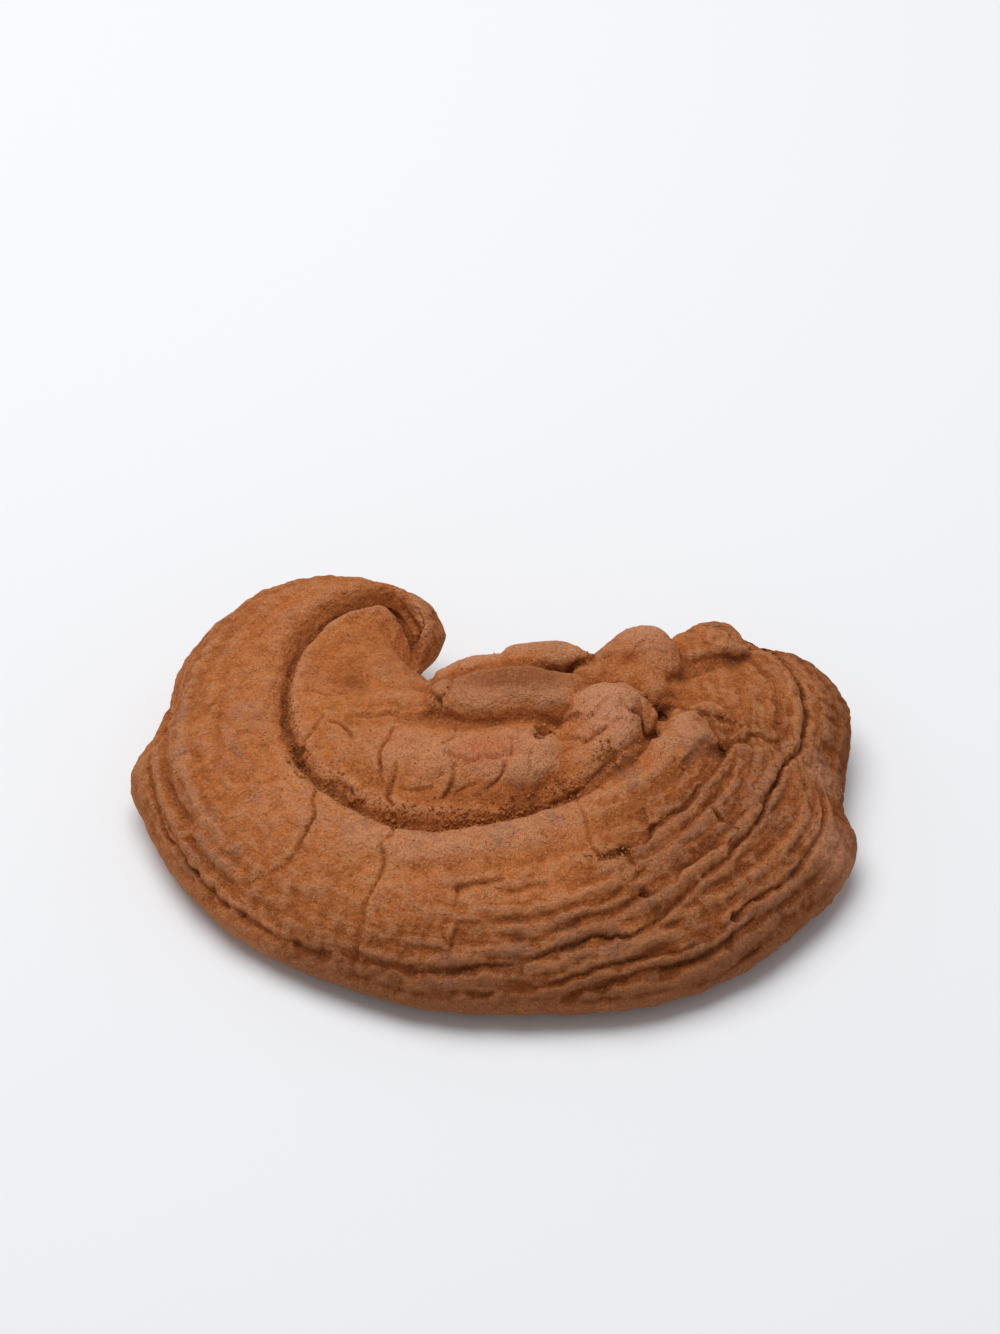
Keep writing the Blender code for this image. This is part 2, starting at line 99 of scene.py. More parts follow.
# The deep groove between the outer roll and the older growth: x, y, height of its floor, height and
# fullness of the roll outside it, and the groove's half-widths towards the roll and the older growth.
INNER_GROOVE = (
    (-15.5, 41.6, 20, 23, 2.2, 1.4, 1.4),
    (-20.4, 42.2, 20.5, 23.5, 2.2, 1.4, 1.6),
    (-20.4, 46, 19.5, 26, 2.2, 1.8, 2.4),
    (-20.8, 51, 20, 27.5, 2.2, 2.0, 2.2),
    (-22.8, 57, 21.5, 28.8, 2.2, 2.2, 1.8),
    (-28.5, 61.9, 23.5, 29.8, 2.2, 2.4, 1.2),
    (-39.5, 58.2, 24.6, 30, 2.2, 2.6, 1.0),
    (-48.3, 48, 25, 29.5, 2.1, 2.8, 1.0),
    (-52.6, 34, 25.6, 29, 2.0, 2.8, 1.0),
    (-52.6, 20, 26, 28.6, 1.9, 2.6, 1.2),
    (-48.6, 6, 26, 28.5, 1.7, 2.2, 1.6),
    (-42, -3.3, 25.8, 28.5, 1.6, 2.0, 1.8),
    (-30, -12.3, 25.5, 28.5, 1.45, 2.0, 2.0),
    (-18, -16.4, 25.5, 28.5, 1.45, 2.0, 2.2),
    (-5, -15.8, 25.5, 29, 1.45, 2.0, 2.2),
    (8, -12.5, 26, 29.5, 1.45, 2.0, 2.2),
    (20.5, -7, 26.5, 30.3, 1.5, 1.8, 2.0),
    (30.5, 0.6, 27, 31, 1.5, 1.6, 1.6),
    (37.8, 8, 27.5, 31.5, 1.5, 1.6, 1.4),
    (41.3, 15, 28, 31.3, 1.6, 1.8, 1.4),
    (42.4, 21, 28.5, 30.6, 1.65, 2.2, 1.8),
    (43, 28, 29, 30, 1.7, 3.0, 2.4),
    (44.5, 36.5, 29, 29.5, 1.8, 3.4, 3.0),
    (46.5, 51, 25, 27, 2.0, 3.4, 3.0),
)

# Lumps and rolls that rise out of the older growth: x, y, radius, top height and fullness (1 a cone,
# 3 a flat top) along each.
LUMPS = (
    ((-45, 14, 12, 28.3, 2.2), (-35, 11, 16, 31, 2.2), (-26, 8, 18, 33, 2.2), (-16, 3, 17, 34.8, 2.0),
     (-5, 2.5, 15.5, 36.2, 1.9), (4, 3, 14, 36.8, 2.1), (9.5, 4, 11, 36.6, 2.6)),  # terrace in front
    ((-41, 23.5, 6, 27.5, 2.2), (-29, 23.5, 8, 30.6, 2.0), (-17.5, 22.5, 6.5, 32.3, 2.0)),  # ledge behind
    ((27.5, 15, 9.5, 40, 2.8), (25.5, 7.5, 11.5, 38, 2.4), (15, -1, 12, 32, 2.0)),  # right-hand knob
    ((27, 9, 10, 36.5, 2.2), (32, 8.5, 7.5, 33.5, 2.0)),                      # its swollen lower side
    ((32, 20.5, 4, 38, 2.2), (36.5, 18, 4.5, 36.5, 2.0), (41, 13.5, 3, 32.5, 2.0)),  # fold twisted beside it
    ((-11, 22, 6.5, 36.5, 2.2), (-3, 21.5, 9, 39, 2.2), (8, 22, 9.5, 40, 2.2),
     (18, 21.5, 8, 38.5, 2.2)),                                               # back ridge
    ((6.5, 34, 5, 37, 3.2), (13, 35, 5.5, 37.6, 3.2), (20.6, 35.3, 5, 38.4, 3.4)),  # pale lump behind
    ((-12, 29.5, 4, 34.2, 2.2), (-5, 31.5, 4.5, 35.8, 2.2), (3, 32, 4.5, 36, 2.2)),  # thin roll behind it
    ((-14.5, 27.5, 5, 32, 2.2),),                                             # nub at its left end
    ((27, 36.8, 6, 37.2, 2.4), (30.5, 36.8, 6.5, 36.8, 2.2), (38.2, 37.5, 9.6, 38.8, 2.0),
     (39, 28, 10, 35, 1.8)),  # knobs at the back
    ((24, 30.5, 6, 36, 2.2), (33, 29.5, 8, 35.5, 2.0)),                       # saddle in front of them
    ((51, 42, 9, 32, 2.2), (56, 44.5, 9.5, 33.2, 2.2)),                       # low lump to their right
    ((45, 7, 8, 33, 2.4), (49.5, 11, 9, 35, 2.4), (53, 16, 8, 33.5, 2.4)),    # blunt end of the first roll
    ((56, 27, 16, 30, 2.4), (65, 33, 14, 28, 2.4)),                           # flat back of the right lobe
    ((-41, 33, 11, 27, 2.6), (-35, 40, 9.5, 27.2, 2.4), (-28, 36.5, 8.5, 28.4, 2.6)),  # sheet on the left
)

# Places where the surface drops away: x, y, depth, radius.
HOLLOWS = (
    (12.6, 9.5, 5, 1.8),   # pit between the terrace and the knob
    (42, 18.5, 2.6, 2.2),  # pit where the first roll ends
    (23.4, 36.5, 2, 1.6),  # dark cleft between the pale lump and the first knob
    (-37, 33, 1.6, 5),     # dent in the sheet of the left lobe
    (56, 14, 2.2, 6),      # dent behind the first roll
    (-60, 4, 1.2, 9),      # broad dent in the left plain
    (30, -14, 1.2, 8),     # broad dent outside the first roll
)

# How high the older growth lies between its lumps, and where it swells or sinks: x, y, how far, and
# the swelling's radius along x and y.
PLATEAU = 29.0
PLATEAU_SWELLS = ((-37, 42, -2.2, 14, 18), (-20.5, 51, -6.5, 8, 7), (0, 14, 3, 24, 14))

ROLL_TOP = 0.82         # where the outer roll is highest, as a share of the way to the groove
BACK_ROUND = 8.0        # how far in from the back margin the form still rounds over
BACK_FULLNESS = 2.2
GROOVE_DROP = 1.7       # how suddenly the roll drops into the groove
GROOVE_RISE = 1.3       # how many half-widths of the groove the older growth takes to rise out of it
LUMP_DEPTH = 1.1        # how far a lump reaches down, as a share of its radius
LUMP_ROUND = 5.5        # how far in from any margin a lump still rounds over
HOLLOW_EDGE = 4.0       # how far in from any margin a hollow reaches its depth
UNDERSIDE_ROLL = 15.0   # how far in the underside still curves up to the margin
UNDER_BACK = 1.6        # and how many times as suddenly it does at the back
TIP_REACH = 56.0        # how far from the curled tip the underside stays lifted
TIP_LIFT = 11.0         # and how far it is lifted there
LOBE_X, LOBE_Y = -16.5, 44.0   # only the left lobe is, to the left of this x or behind this y
BELOW_ALL = -9.0        # a height that nothing reaches


def smooth_curve(points, steps=12):
    """A Catmull-Rom curve through hand-set points, of any number of columns."""
    given = np.array(points, float)
    if len(given) == 1:
        return np.vstack([given, given])
    ends = np.vstack([2 * given[0] - given[1], given, 2 * given[-1] - given[-2]])
    t = np.linspace(0, 1, steps, endpoint=False)[:, None]
    pieces = []
    for a, b, c, d in zip(ends, ends[1:], ends[2:], ends[3:]):
        pieces.append(0.5 * (2 * b + (c - a) * t + (2 * a - 5 * b + 4 * c - d) * t ** 2
                             + (3 * b - a - 3 * c + d) * t ** 3))
    return np.concatenate(pieces + [given[-1:]])


def evenly_spaced(curve, count, columns):
    """The curve read again at equal lengths, measured over the given columns."""
    lengths = np.linalg.norm(np.diff(curve[:, columns], axis=0), axis=1)
    along = np.concatenate([[0], np.cumsum(lengths)])
    wanted = np.linspace(0, along[-1], count)
    return np.stack([np.interp(wanted, along, column) for column in curve.T], 1)


def nearest(points, curve):
    """Distance from each point to the curve, its side in plan, and the curve's further columns."""
    dims = points.shape[1]
    best = np.full(len(points), 1e9)
    side = np.ones(len(points))
    values = np.zeros((len(points), curve.shape[1] - dims))
    for start, end in zip(curve[:-1], curve[1:]):
        run = end[:dims] - start[:dims]
        away = points - start[:dims]
        t = np.clip(away @ run / max(run @ run, 1e-9), 0, 1)
        gap = away - t[:, None] * run
        distance = np.sqrt((gap * gap).sum(1))
        closer = distance < best
        best[closer] = distance[closer]
        side[closer] = np.sign(run[0] * away[closer, 1] - run[1] * away[closer, 0])
        values[closer] = start[dims:] + t[closer, None] * (end[dims:] - start[dims:])
    return best, side, values


def rounded(x, fullness):
    """0 to 1 with an upright start and a level end, like the side of a roll."""
    x = np.clip(x, 0, 1)
    return (1 - (1 - x) ** fullness) ** (1 / fullness)


def fade(x):
    """0 to 1 with a level start and end."""
    x = np.clip(x, 0, 1)
    return x * x * (3 - 2 * x)


def hill(plan, x, y, radius_x, radius_y):
    """1 at this place on the plan, falling off over these radii."""
    return np.exp(-((plan[..., 0] - x) / radius_x) ** 2 - ((plan[..., 1] - y) / radius_y) ** 2)


def joined(a, b, blend=1.6):
    """The higher of two surfaces, softened a little where they meet."""
    overlap = np.clip(1 - np.abs(a - b) / blend, 0, 1)
    return np.maximum(a, b) + overlap ** 2 * blend / 4


OUTER_MARGIN = smooth_curve([station[:2] for station in STATIONS])
BACK_MARGIN = smooth_curve([station[3:5] for station in STATIONS])
GROOVE = smooth_curve(INNER_GROOVE)


def both_heights(plan, margin_z):
    """Over each plan point: upper height, lower height, place in the outer band, depth inside."""
    from_outer = nearest(plan, OUTER_MARGIN)[0]
    from_back = nearest(plan, BACK_MARGIN)[0]
    from_groove, side, values = nearest(plan, GROOVE)
    floor, roll_top, fullness, roll_side, inner_side = values.T

    share = from_outer / (from_outer + from_groove + 1e-6)
    at_back = rounded(from_back / BACK_ROUND, BACK_FULLNESS)
    outer_band = margin_z + (roll_top - margin_z) * rounded(share / ROLL_TOP, fullness)
    outer_band -= (roll_top - floor) * np.exp(-(from_groove / roll_side) ** GROOVE_DROP)
    outer_band = margin_z + (outer_band - margin_z) * at_back

    plateau = PLATEAU
    for x, y, rise, radius_x, radius_y in PLATEAU_SWELLS:
        plateau = plateau + rise * hill(plan, x, y, radius_x, radius_y)
    inner_rise = 1 - np.exp(-(from_groove / (GROOVE_RISE * inner_side)) ** 2)
    inner = floor + (plateau - floor) * inner_rise
    inner = margin_z + (inner - margin_z) * at_back
    height = np.where(side > 0, inner, outer_band)

    for lump in LUMPS:
        distance, _, values = nearest(plan, smooth_curve(lump, 6))
        radius, top, fullness = values.T
        foot = np.maximum(top - radius * LUMP_DEPTH, margin_z)
        swell = foot + (top - foot) * rounded(1 - distance / radius, fullness)
        past_rim = rounded(np.minimum(from_back, from_outer) / LUMP_ROUND, 2.8)
        swell = np.where(distance < radius, margin_z + (swell - margin_z) * past_rim, BELOW_ALL)
        height = joined(height, swell)
    for x, y, depth, radius in HOLLOWS:
        past_rim = fade(np.minimum(from_outer, from_back) / HOLLOW_EDGE)
        height -= depth * hill(plan, x, y, radius, radius) * past_rim

    from_edge = np.minimum(from_outer, from_back * UNDER_BACK)
    from_tip = np.hypot(plan[:, 0] - STATIONS[0][0], plan[:, 1] - STATIONS[0][1])
    in_lobe = np.maximum(fade((plan[:, 1] - LOBE_Y) / 4), fade((LOBE_X - plan[:, 0]) / 3))
    rest = TIP_LIFT * fade(1 - from_tip / TIP_REACH) * in_lobe
    under = np.maximum(margin_z + (rest - margin_z) * rounded(from_edge / UNDERSIDE_ROLL, 2.0), 0.0)
    return height, under, np.where(side > 0, 1.0, share), np.minimum(from_outer, from_back)


def cross_sections():
    """Every cross-section, over the top and back underneath: x, y, z, band and depth inside."""
    stations = evenly_spaced(smooth_curve(STATIONS), ROWS, [0, 1])
    turn = np.linspace(0, math.pi, ACROSS)   # the points lie closer together near both margins
    across = 0.75 * (1 - np.cos(turn)) / 2 + 0.25 * turn / math.pi
    outer, back = stations[:, None, :3], stations[:, None, 3:]
    straight = outer + (back - outer) * across[None, :, None]
    plan = straight[..., :2].reshape(-1, 2)
    upper, lower, band, inside = both_heights(plan, straight[..., 2].reshape(-1))
    top = np.column_stack([plan, upper, band, inside]).reshape(ROWS, ACROSS, 5)
    under = np.column_stack([plan, lower, band, inside]).reshape(ROWS, ACROSS, 5)
    sections = []
    for over, below in zip(top, under):
        over = evenly_spaced(over, TOP_STEPS, [0, 1, 2])
        below = evenly_spaced(below[::-1], LOOP_STEPS - TOP_STEPS + 2, [0, 1, 2])
        sections.append(np.vstack([over, below[1:-1]]))
    return np.array(sections)


# ---- Fruiting body: furrows, rings, cracks -------------------------------------------------
# The crust grew in rings, one inside the other, and cracked as the body dried. Furrows, cracks and
# ridges are lines on the plan. They are laid on the form and worked in along its normals, so that
# they keep their width on a steep side.

# Furrows and cracks: a line's usual half-width, then its points as x, y and depth, followed by the
# half-width where it differs there.
FURROWS = (
    # the crease at the bottom of the inner groove, ragged where crumbs lie in it
    (0.5, (-21.2, 48, 0.9), (-21.3, 52, 1.44), (-23.4, 57.4, 1.62), (-28.5, 61.7, 1.44),
     (-39.5, 58.2, 1.26), (-48.3, 48, 1.26), (-52.6, 34, 1.44), (-52.6, 20, 1.44, 0.58),
     (-48.6, 6, 1.62, 0.72), (-42, -3.3, 1.08, 0.86), (-30, -12.3, 0.9, 0.94), (-18, -16.4, 0.9, 0.94),
     (-5, -15.8, 0.9, 0.86), (8, -12.5, 0.99, 0.79), (20.5, -7, 1.0, 0.72), (30.5, 0.6, 0.7, 0.72),
     (37.8, 8, 0.8, 0.72), (41, 14.5, 1.2, 0.72), (42, 20, 1.08, 0.79)),
    # the main furrow, from the back of the right lobe round the front to the left side
    (0.64, (66, 51.5, 0.49, 0.73), (69, 51, 1.1, 0.73), (72, 48, 1.35, 0.69), (75, 43, 1.59, 0.69),
     (77.5, 36.5, 1.84), (78.5, 32, 1.84), (79, 27, 1.84), (79, 22.5, 1.84), (77, 13.5, 1.59),
     (76, 10.5, 1.35), (73.5, 7, 1.47), (71.5, 3, 1.84), (68, -6.5, 1.84), (63, -17, 1.84),
     (58.5, -22, 1.84), (57, -25, 1.84), (55, -26.5, 1.84), (43, -38.5, 1.47), (35, -44.5, 1.35),
     (28.5, -46, 1.59), (26, -46, 1.71), (21, -47, 1.59), (17, -48.5, 1.47), (7.5, -51.5, 1.47),
     (0.5, -52, 1.35), (-3.5, -52, 1.22), (-7, -52.5, 1.1), (-16, -52.5, 1.22, 0.58),
     (-23, -51, 0.73, 0.54), (-33, -48.5, 0.73, 0.54), (-34.5, -47, 0.55, 0.58), (-42, -45, 0.64, 0.58),
     (-48, -42, 0.73, 0.58), (-51, -40, 0.37, 0.54), (-54, -38.5, 0.64, 0.49), (-56, -37, 0.64, 0.44),
     (-61, -33.5, 0.55, 0.54), (-63, -31.5, 0.55, 0.58), (-66.5, -29, 0.64), (-72, -23, 0.83),
     (-73.5, -20.5, 1.01, 0.58), (-75.5, -18.5, 1.1, 0.54), (-76.5, -16.5, 0.91, 0.49),
     (-78, -14, 0.55, 0.49), (-80, -11, 0.91, 0.54), (-81.5, -8.5, 1.1, 0.54), (-82.5, -5.5, 1.01, 0.54),
     (-85, 1.5, 0.83, 0.49), (-87, 10, 0.64, 0.49), (-87, 14, 0.37, 0.49), (-86.5, 19.5, 0.19, 0.49)),
    # between it and the right-hand margin, dying out round the front
    (0.65, (81.5, 4, 0.33), (82, 0.5, 1.06), (81.5, -11, 1.33), (76.5, -19.5, 1.46),
     (75, -22.5, 1.59, 0.76), (70.5, -27.5, 1.46, 0.7), (68, -29.5, 1.33), (62, -34, 1.19),
     (59, -37.5, 1.33), (53, -43, 0.93), (49.5, -45, 0.93), (45.5, -47, 0.93), (42, -47.5, 1.19),
     (35.5, -49.5, 1.06), (27, -52, 1.33), (23, -53, 1.06), (15, -55, 0.8), (11, -56, 0.8),
     (-3.5, -57, 0.6), (-6.5, -56.5, 0.33)),
    # a thin one nearer the margin
    (0.8, (65.5, -34.5, 0.4), (63, -37.5, 1), (60.5, -39.5, 1.2), (54.5, -44.5, 1.2), (47.5, -48.5, 1.4),
     (38.5, -51.5, 1), (29.5, -54, 1.2), (25, -55.5, 1), (14, -57.5, 0.5)),
    # a short one near the rim, on the right of the front
    (0.8, (68, -39, 0.8), (63.5, -43, 1.6), (61, -45, 1.2), (57.5, -47.5, 0.8), (53.5, -50, 1.2),
     (50, -52, 1.2), (42.5, -55, 0.6)),
    # the step that ends the rings on the right
    (0.63, (72.5, 14, 0.32), (70, 12.5, 0.8), (68.5, 12, 0.64), (64.5, 12.5, 1.12), (63, 10.5, 1.12),
     (61, 10.5, 0.96), (58, 8, 1.6), (57, 5, 1.76), (56.5, 2, 1.28), (55, -0.5, 0.96), (52, -5, 0.96),
     (47, -12.5, 1.12), (43, -15.5, 0.8), (41, -17.5, 0.8), (39, -18.5, 1.12), (37, -22, 1.28),
     (34, -23, 1.12)),
    # beside the worn ridge
    (0.68, (60.5, 6.5, 0.43), (60, 4.5, 1.01), (59, 0, 1.16), (57.5, -3, 1.16), (54, -9.5, 1.3),
     (52, -11.5, 1.3), (51, -13.5, 1.16), (47, -18, 0.87), (41, -23, 0.58), (38, -25, 0.36)),
    # between the rings inside the main furrow
    (0.72, (64.5, 5, 0.31), (62, -0.5, 0.61), (61, -6, 0.77), (58.5, -13, 0.61), (58.5, -17, 0.92),
     (56.5, -19, 0.77), (53, -23, 1.07), (48.5, -27, 1.22), (45.5, -29.5, 1.07), (44, -32, 0.92),
     (38, -36, 1.22), (36.5, -35.5, 1.38), (34.5, -37, 1.22), (31.5, -39, 1.07), (29, -40.5, 0.77),
     (22, -42, 0.77), (18, -44, 0.92), (15, -45, 0.92), (11, -47, 0.77), (7, -47, 0.61),
     (1.5, -46.5, 0.38)),
    # inside the first of the front rings
    (0.72, (40.5, -27, 0.46), (38, -28.5, 0.77), (35.5, -31, 0.92), (34, -33, 0.77), (26, -38.5, 0.92),
     (22, -39, 0.77), (18, -40, 0.77), (13, -41.5, 0.69), (8.5, -42.5, 0.61), (2.5, -42.5, 0.61),
     (-3.5, -42, 0.31)),
    # short crack across the worn ridge
    (0.7, (53, -12, 0.5), (53.5, -12.5, 1.4), (55.5, -14.5, 1.6), (58, -15.5, 0.4)),
    # the fold behind the blunt end of the first roll
    (0.96, (42, 20.5, 1.8, 1.28), (43, 21, 1.2, 1.12), (46.5, 21.5, 0.84), (49, 19, 0.96),
     (52, 18.5, 1.2), (54, 17, 1.2), (59, 16, 0.96), (61.5, 17, 0.6), (64, 17.5, 0.3)),
    # right edge of the blunt end
    (0.7, (52, 17, 0.8), (54, 14, 0.8), (56, 9.5, 1), (57, 7.5, 1.6)),
    # the next fold behind it
    (1.4, (42, 22.5, 0.8), (46, 24.5, 0.9), (53.5, 24, 0.6), (57.5, 23.5, 0.4)),
    # inner wrinkle of the right lobe's back
    (1.3, (44.5, 28, 0.8), (48, 31.5, 1), (56.5, 36, 0.5), (60.5, 37.5, 0.4)),
    # outer wrinkle of the right lobe's back, round to its side
    (1.3, (52.5, 37, 0.6), (57, 38, 1), (61.5, 39, 1), (65, 41, 0.9), (68.5, 36.5, 0.9), (71, 32.5, 0.8),
     (72, 27.5, 0.9), (72.5, 23.5, 0.9), (71.5, 17.5, 0.7)),
    # between the curl and its inner ring
    (1.2, (74.5, 31, 0.4), (74.5, 26, 0.8), (74.5, 20.5, 0.8), (73.5, 15, 0.6)),
    # long crack from the inner groove across the first roll to the front
    (0.51, (-24.5, -13, 0.56, 0.59), (-25, -20, 0.98), (-26.5, -22.5, 0.7), (-27.5, -24, 1.12),
     (-27, -28.5, 1.12), (-29, -33.5, 0.98, 0.42), (-30.5, -35.5, 0.91, 0.42), (-31.5, -38, 0.98),
     (-32, -40.5, 0.7, 0.42), (-33, -43.5, 0.7, 0.42), (-33, -45.5, 0.77, 0.42), (-33.5, -47, 1.05, 0.68),
     (-34.5, -48.5, 0.7, 0.59)),
    # crack from the inner groove across the left plain
    (0.5, (-44, -5.5, 0.8), (-44.5, -9, 1), (-44.5, -14, 1.2, 0.6), (-46, -18.5, 1.3, 0.6),
     (-47, -20, 1.2), (-49, -23.5, 0.9), (-52, -26, 0.7), (-55, -26.5, 0.4)),
    # crack across the first roll to the pits
    (0.54, (20, -6, 0.36), (21, -12, 0.48), (22.5, -17.5, 0.6), (23.5, -23.5, 0.72, 0.63),
     (26, -27, 0.96, 0.81), (28.5, -26.5, 1.08, 0.9), (31.5, -24.5, 1.2, 0.99), (33, -22.5, 1.08, 0.81),
     (34, -20.5, 0.6, 0.63)),
    # short crack down from the pits
    (0.6, (32.5, -25, 1.2), (33.5, -28, 0.9), (34.5, -29.5, 0.6)),
    # the foot of the first roll in front
    (0.7, (-9, -35.5, 1.2), (-6, -34.5, 1.2), (-2, -34, 1.1), (2, -33.5, 0.6)),
    # its softer foot, all along the front
    (2.6, (-23, -31, 0.3), (-18, -30, 0.6), (-13.5, -30, 0.55), (-9.5, -29.5, 0.5), (-3, -30, 0.5),
     (4, -29, 0.55), (11.5, -27.5, 0.6), (15, -26, 0.4)),
    # second line below the foot
    (0.8, (1.5, -36, 0.4), (5.5, -36, 0.8), (9, -35, 0.9), (12.5, -34.5, 0.6)),
    # soft dent beside the pits
    (1, (36, -12, 0.6), (36.5, -14.5, 0.8), (38, -20, 0.8)),
    # trough outside the first roll
    (3, (53.5, 8.5, 0.36), (51.5, 4.5, 0.6), (48.5, 2.5, 0.84), (45, -3, 0.96), (33, -14, 0.6),
     (27.5, -18, 0.6, 2.6), (22.5, -22.5, 0.48, 2.4)),
    # cracks down the front of the terrace: the longest
    (0.54, (-24, -0.5, 0.6), (-24.5, -2.5, 0.83), (-26, -6.5, 1.2, 0.63), (-26.5, -8, 1.35, 0.72),
     (-25.5, -10.5, 1.35, 0.72)),
    # the curved one to its left
    (0.5, (-24.5, 11.5, 0.7), (-25.5, 10, 1), (-26, 8, 1), (-27.5, 6, 1), (-28.5, 3, 1.2),
     (-28.5, -0.5, 1), (-28.5, -3.5, 0.7)),
    # a short one further left
    (0.5, (-30.5, -3, 0.6), (-32, -4.5, 0.8), (-33, -5.5, 0.5)),
    # in the middle of the terrace
    (0.5, (-9.5, -2.5, 0.6), (-10, -5.5, 1.2), (-11.5, -8.5, 1.3, 0.7), (-12.5, -10, 0.8, 0.7)),
    # to the right of the middle
    (0.5, (3, -2.5, 0.7), (2.5, -4.5, 1.2), (2, -6, 1.1), (-1.5, -8, 0.7)),
    # near the terrace's right-hand end
    (0.45, (9.5, 0.5, 0.8), (9, -2.5, 1.1, 0.5), (9, -5, 0.6)),
    # left edge of the plate at the terrace's left end
    (0.45, (-48, 11, 0.9, 0.7), (-46, 13, 0.8), (-43, 19.5, 0.6)),
    # right edge of that plate
    (0.45, (-42, 17.5, 0.5), (-38.5, 16, 0.9), (-37, 13, 1), (-35, 9, 0.4)),
    # hairline from the longest crack towards the middle
    (0.4, (-23.5, -6.5, 0.5), (-18.5, -7.5, 0.7), (-15.5, -7, 0.4)),
    # hairline along the terrace's front edge
    (0.45, (-13.5, 1.5, 0.4), (-11, 0.5, 0.8), (-8.5, -1, 0.5), (-5.5, -2, 0.8), (-3, -1, 0.7),
     (-1, -1.5, 1), (4.5, -1, 0.9)),
    # hairline up from it
    (0.4, (4, 5, 0.4), (4.5, 2, 0.7), (4.5, -0.5, 0.8)),
    # hairline over the terrace's top
    (0.45, (-9.5, 13, 0.4), (-10, 6.5, 0.8), (-12, 4.5, 0.8), (-13.5, 3, 0.5)),
    # hairline between the middle cracks
    (0.4, (-9.5, -8.5, 0.3), (-7.5, -7.5, 0.6), (-3.5, -6.5, 0.3)),
    # the ledge across the back of the terrace
    (0.6, (-36, 19, 0.25), (-32.5, 18.5, 0.45), (-29, 17.5, 0.4), (-26.5, 18.5, 0.6), (-25, 17.5, 0.5),
     (-20.5, 16, 0.45), (-16, 17.5, 0.4), (-14.5, 17.5, 0.45)),
    # behind the back ridge, below the pale lump
    (0.8, (2, 29.2, 0.4, 0.7), (7, 29.1, 0.9, 0.7), (14, 29.5, 1.2), (19, 30, 1.2), (22.5, 30.6, 0.9)),
    # the broken edge of the sheet beside its hollow
    (0.5, (-50.9, 27.6, 0.2), (-46, 29.2, 0.5), (-42, 27.6, 0.6), (-38.5, 29, 0.7), (-36, 29.7, 0.3)),
    # under the nub
    (0.63, (-16.5, 23.5, 0.7), (-15, 20, 1.12), (-14, 18.5, 1.4, 0.72), (-13.5, 16.5, 0.7, 0.72)),
    # between the nub and the back ridge
    (0.54, (-12, 18.5, 0.45), (-11.5, 21.5, 0.72), (-10.5, 26, 0.63), (-10.5, 29, 0.36)),
    # crack across the knob
    (0.4, (23, 4, 0.6), (25.5, 5, 1), (30, 8.5, 1), (31.5, 9.5, 0.4)),
    # its branch to the left
    (0.4, (17, 6, 0.4), (20, 5.5, 0.6), (23, 4, 0.7)),
    # short crack over the knob's top
    (0.4, (24, 9.5, 0.4), (27.5, 14, 0.6), (29.5, 15, 0.3)),
    # under the twisted fold
    (0.7, (31.5, 16.5, 0.55), (34, 12.5, 1.21), (36.5, 14.5, 1.32), (37, 11.5, 1.1), (40, 11, 0.66)),
    # over the twisted fold
    (0.6, (35, 20, 0.33), (38, 20.5, 0.77), (40, 20.5, 0.88), (41, 21, 0.99)),
    # crease in the curled tip
    (0.7, (-23.5, 60.5, 0.35), (-21.5, 58, 0.7), (-20, 54.5, 1.4), (-20.5, 52.5, 1.12)),
    # short crease beside it
    (0.7, (-19, 56.5, 0.5), (-18.5, 55, 1), (-19.5, 53.5, 0.9)),
    # short cracks down the front: the deepest
    (0.5, (-9, -43.5, 0.6), (-9, -45, 0.8), (-10, -47, 1), (-10, -48.5, 1.4, 0.7)),
    # above it
    (0.5, (-9, -36, 0.9), (-9, -38, 0.6), (-10, -40.5, 0.3)),
    # to its left
    (0.5, (-11.5, -41.5, 0.3), (-12.5, -44.5, 0.5), (-11, -48, 0.5)),
    # shallow dent across the left plain
    (1.6, (-71.5, -4.5, 0.25), (-67, -5.5, 0.45), (-62, -5.5, 0.4), (-54.5, -1, 0.3, 1)),
    # the soft furrow on the left roll
    (1.6, (-67, 39.5, 0.18), (-68.5, 33, 0.48), (-69.5, 16, 0.6), (-68.5, 9.5, 0.3)),
    # between the soft rings on the left
    (1.8, (-77, 48, 0.4), (-81, 41, 0.8), (-83.5, 30.5, 0.9), (-83.5, 17.5, 0.9), (-82.5, 8, 0.8),
     (-80, -1, 0.9), (-76.5, -8, 0.8)),
)

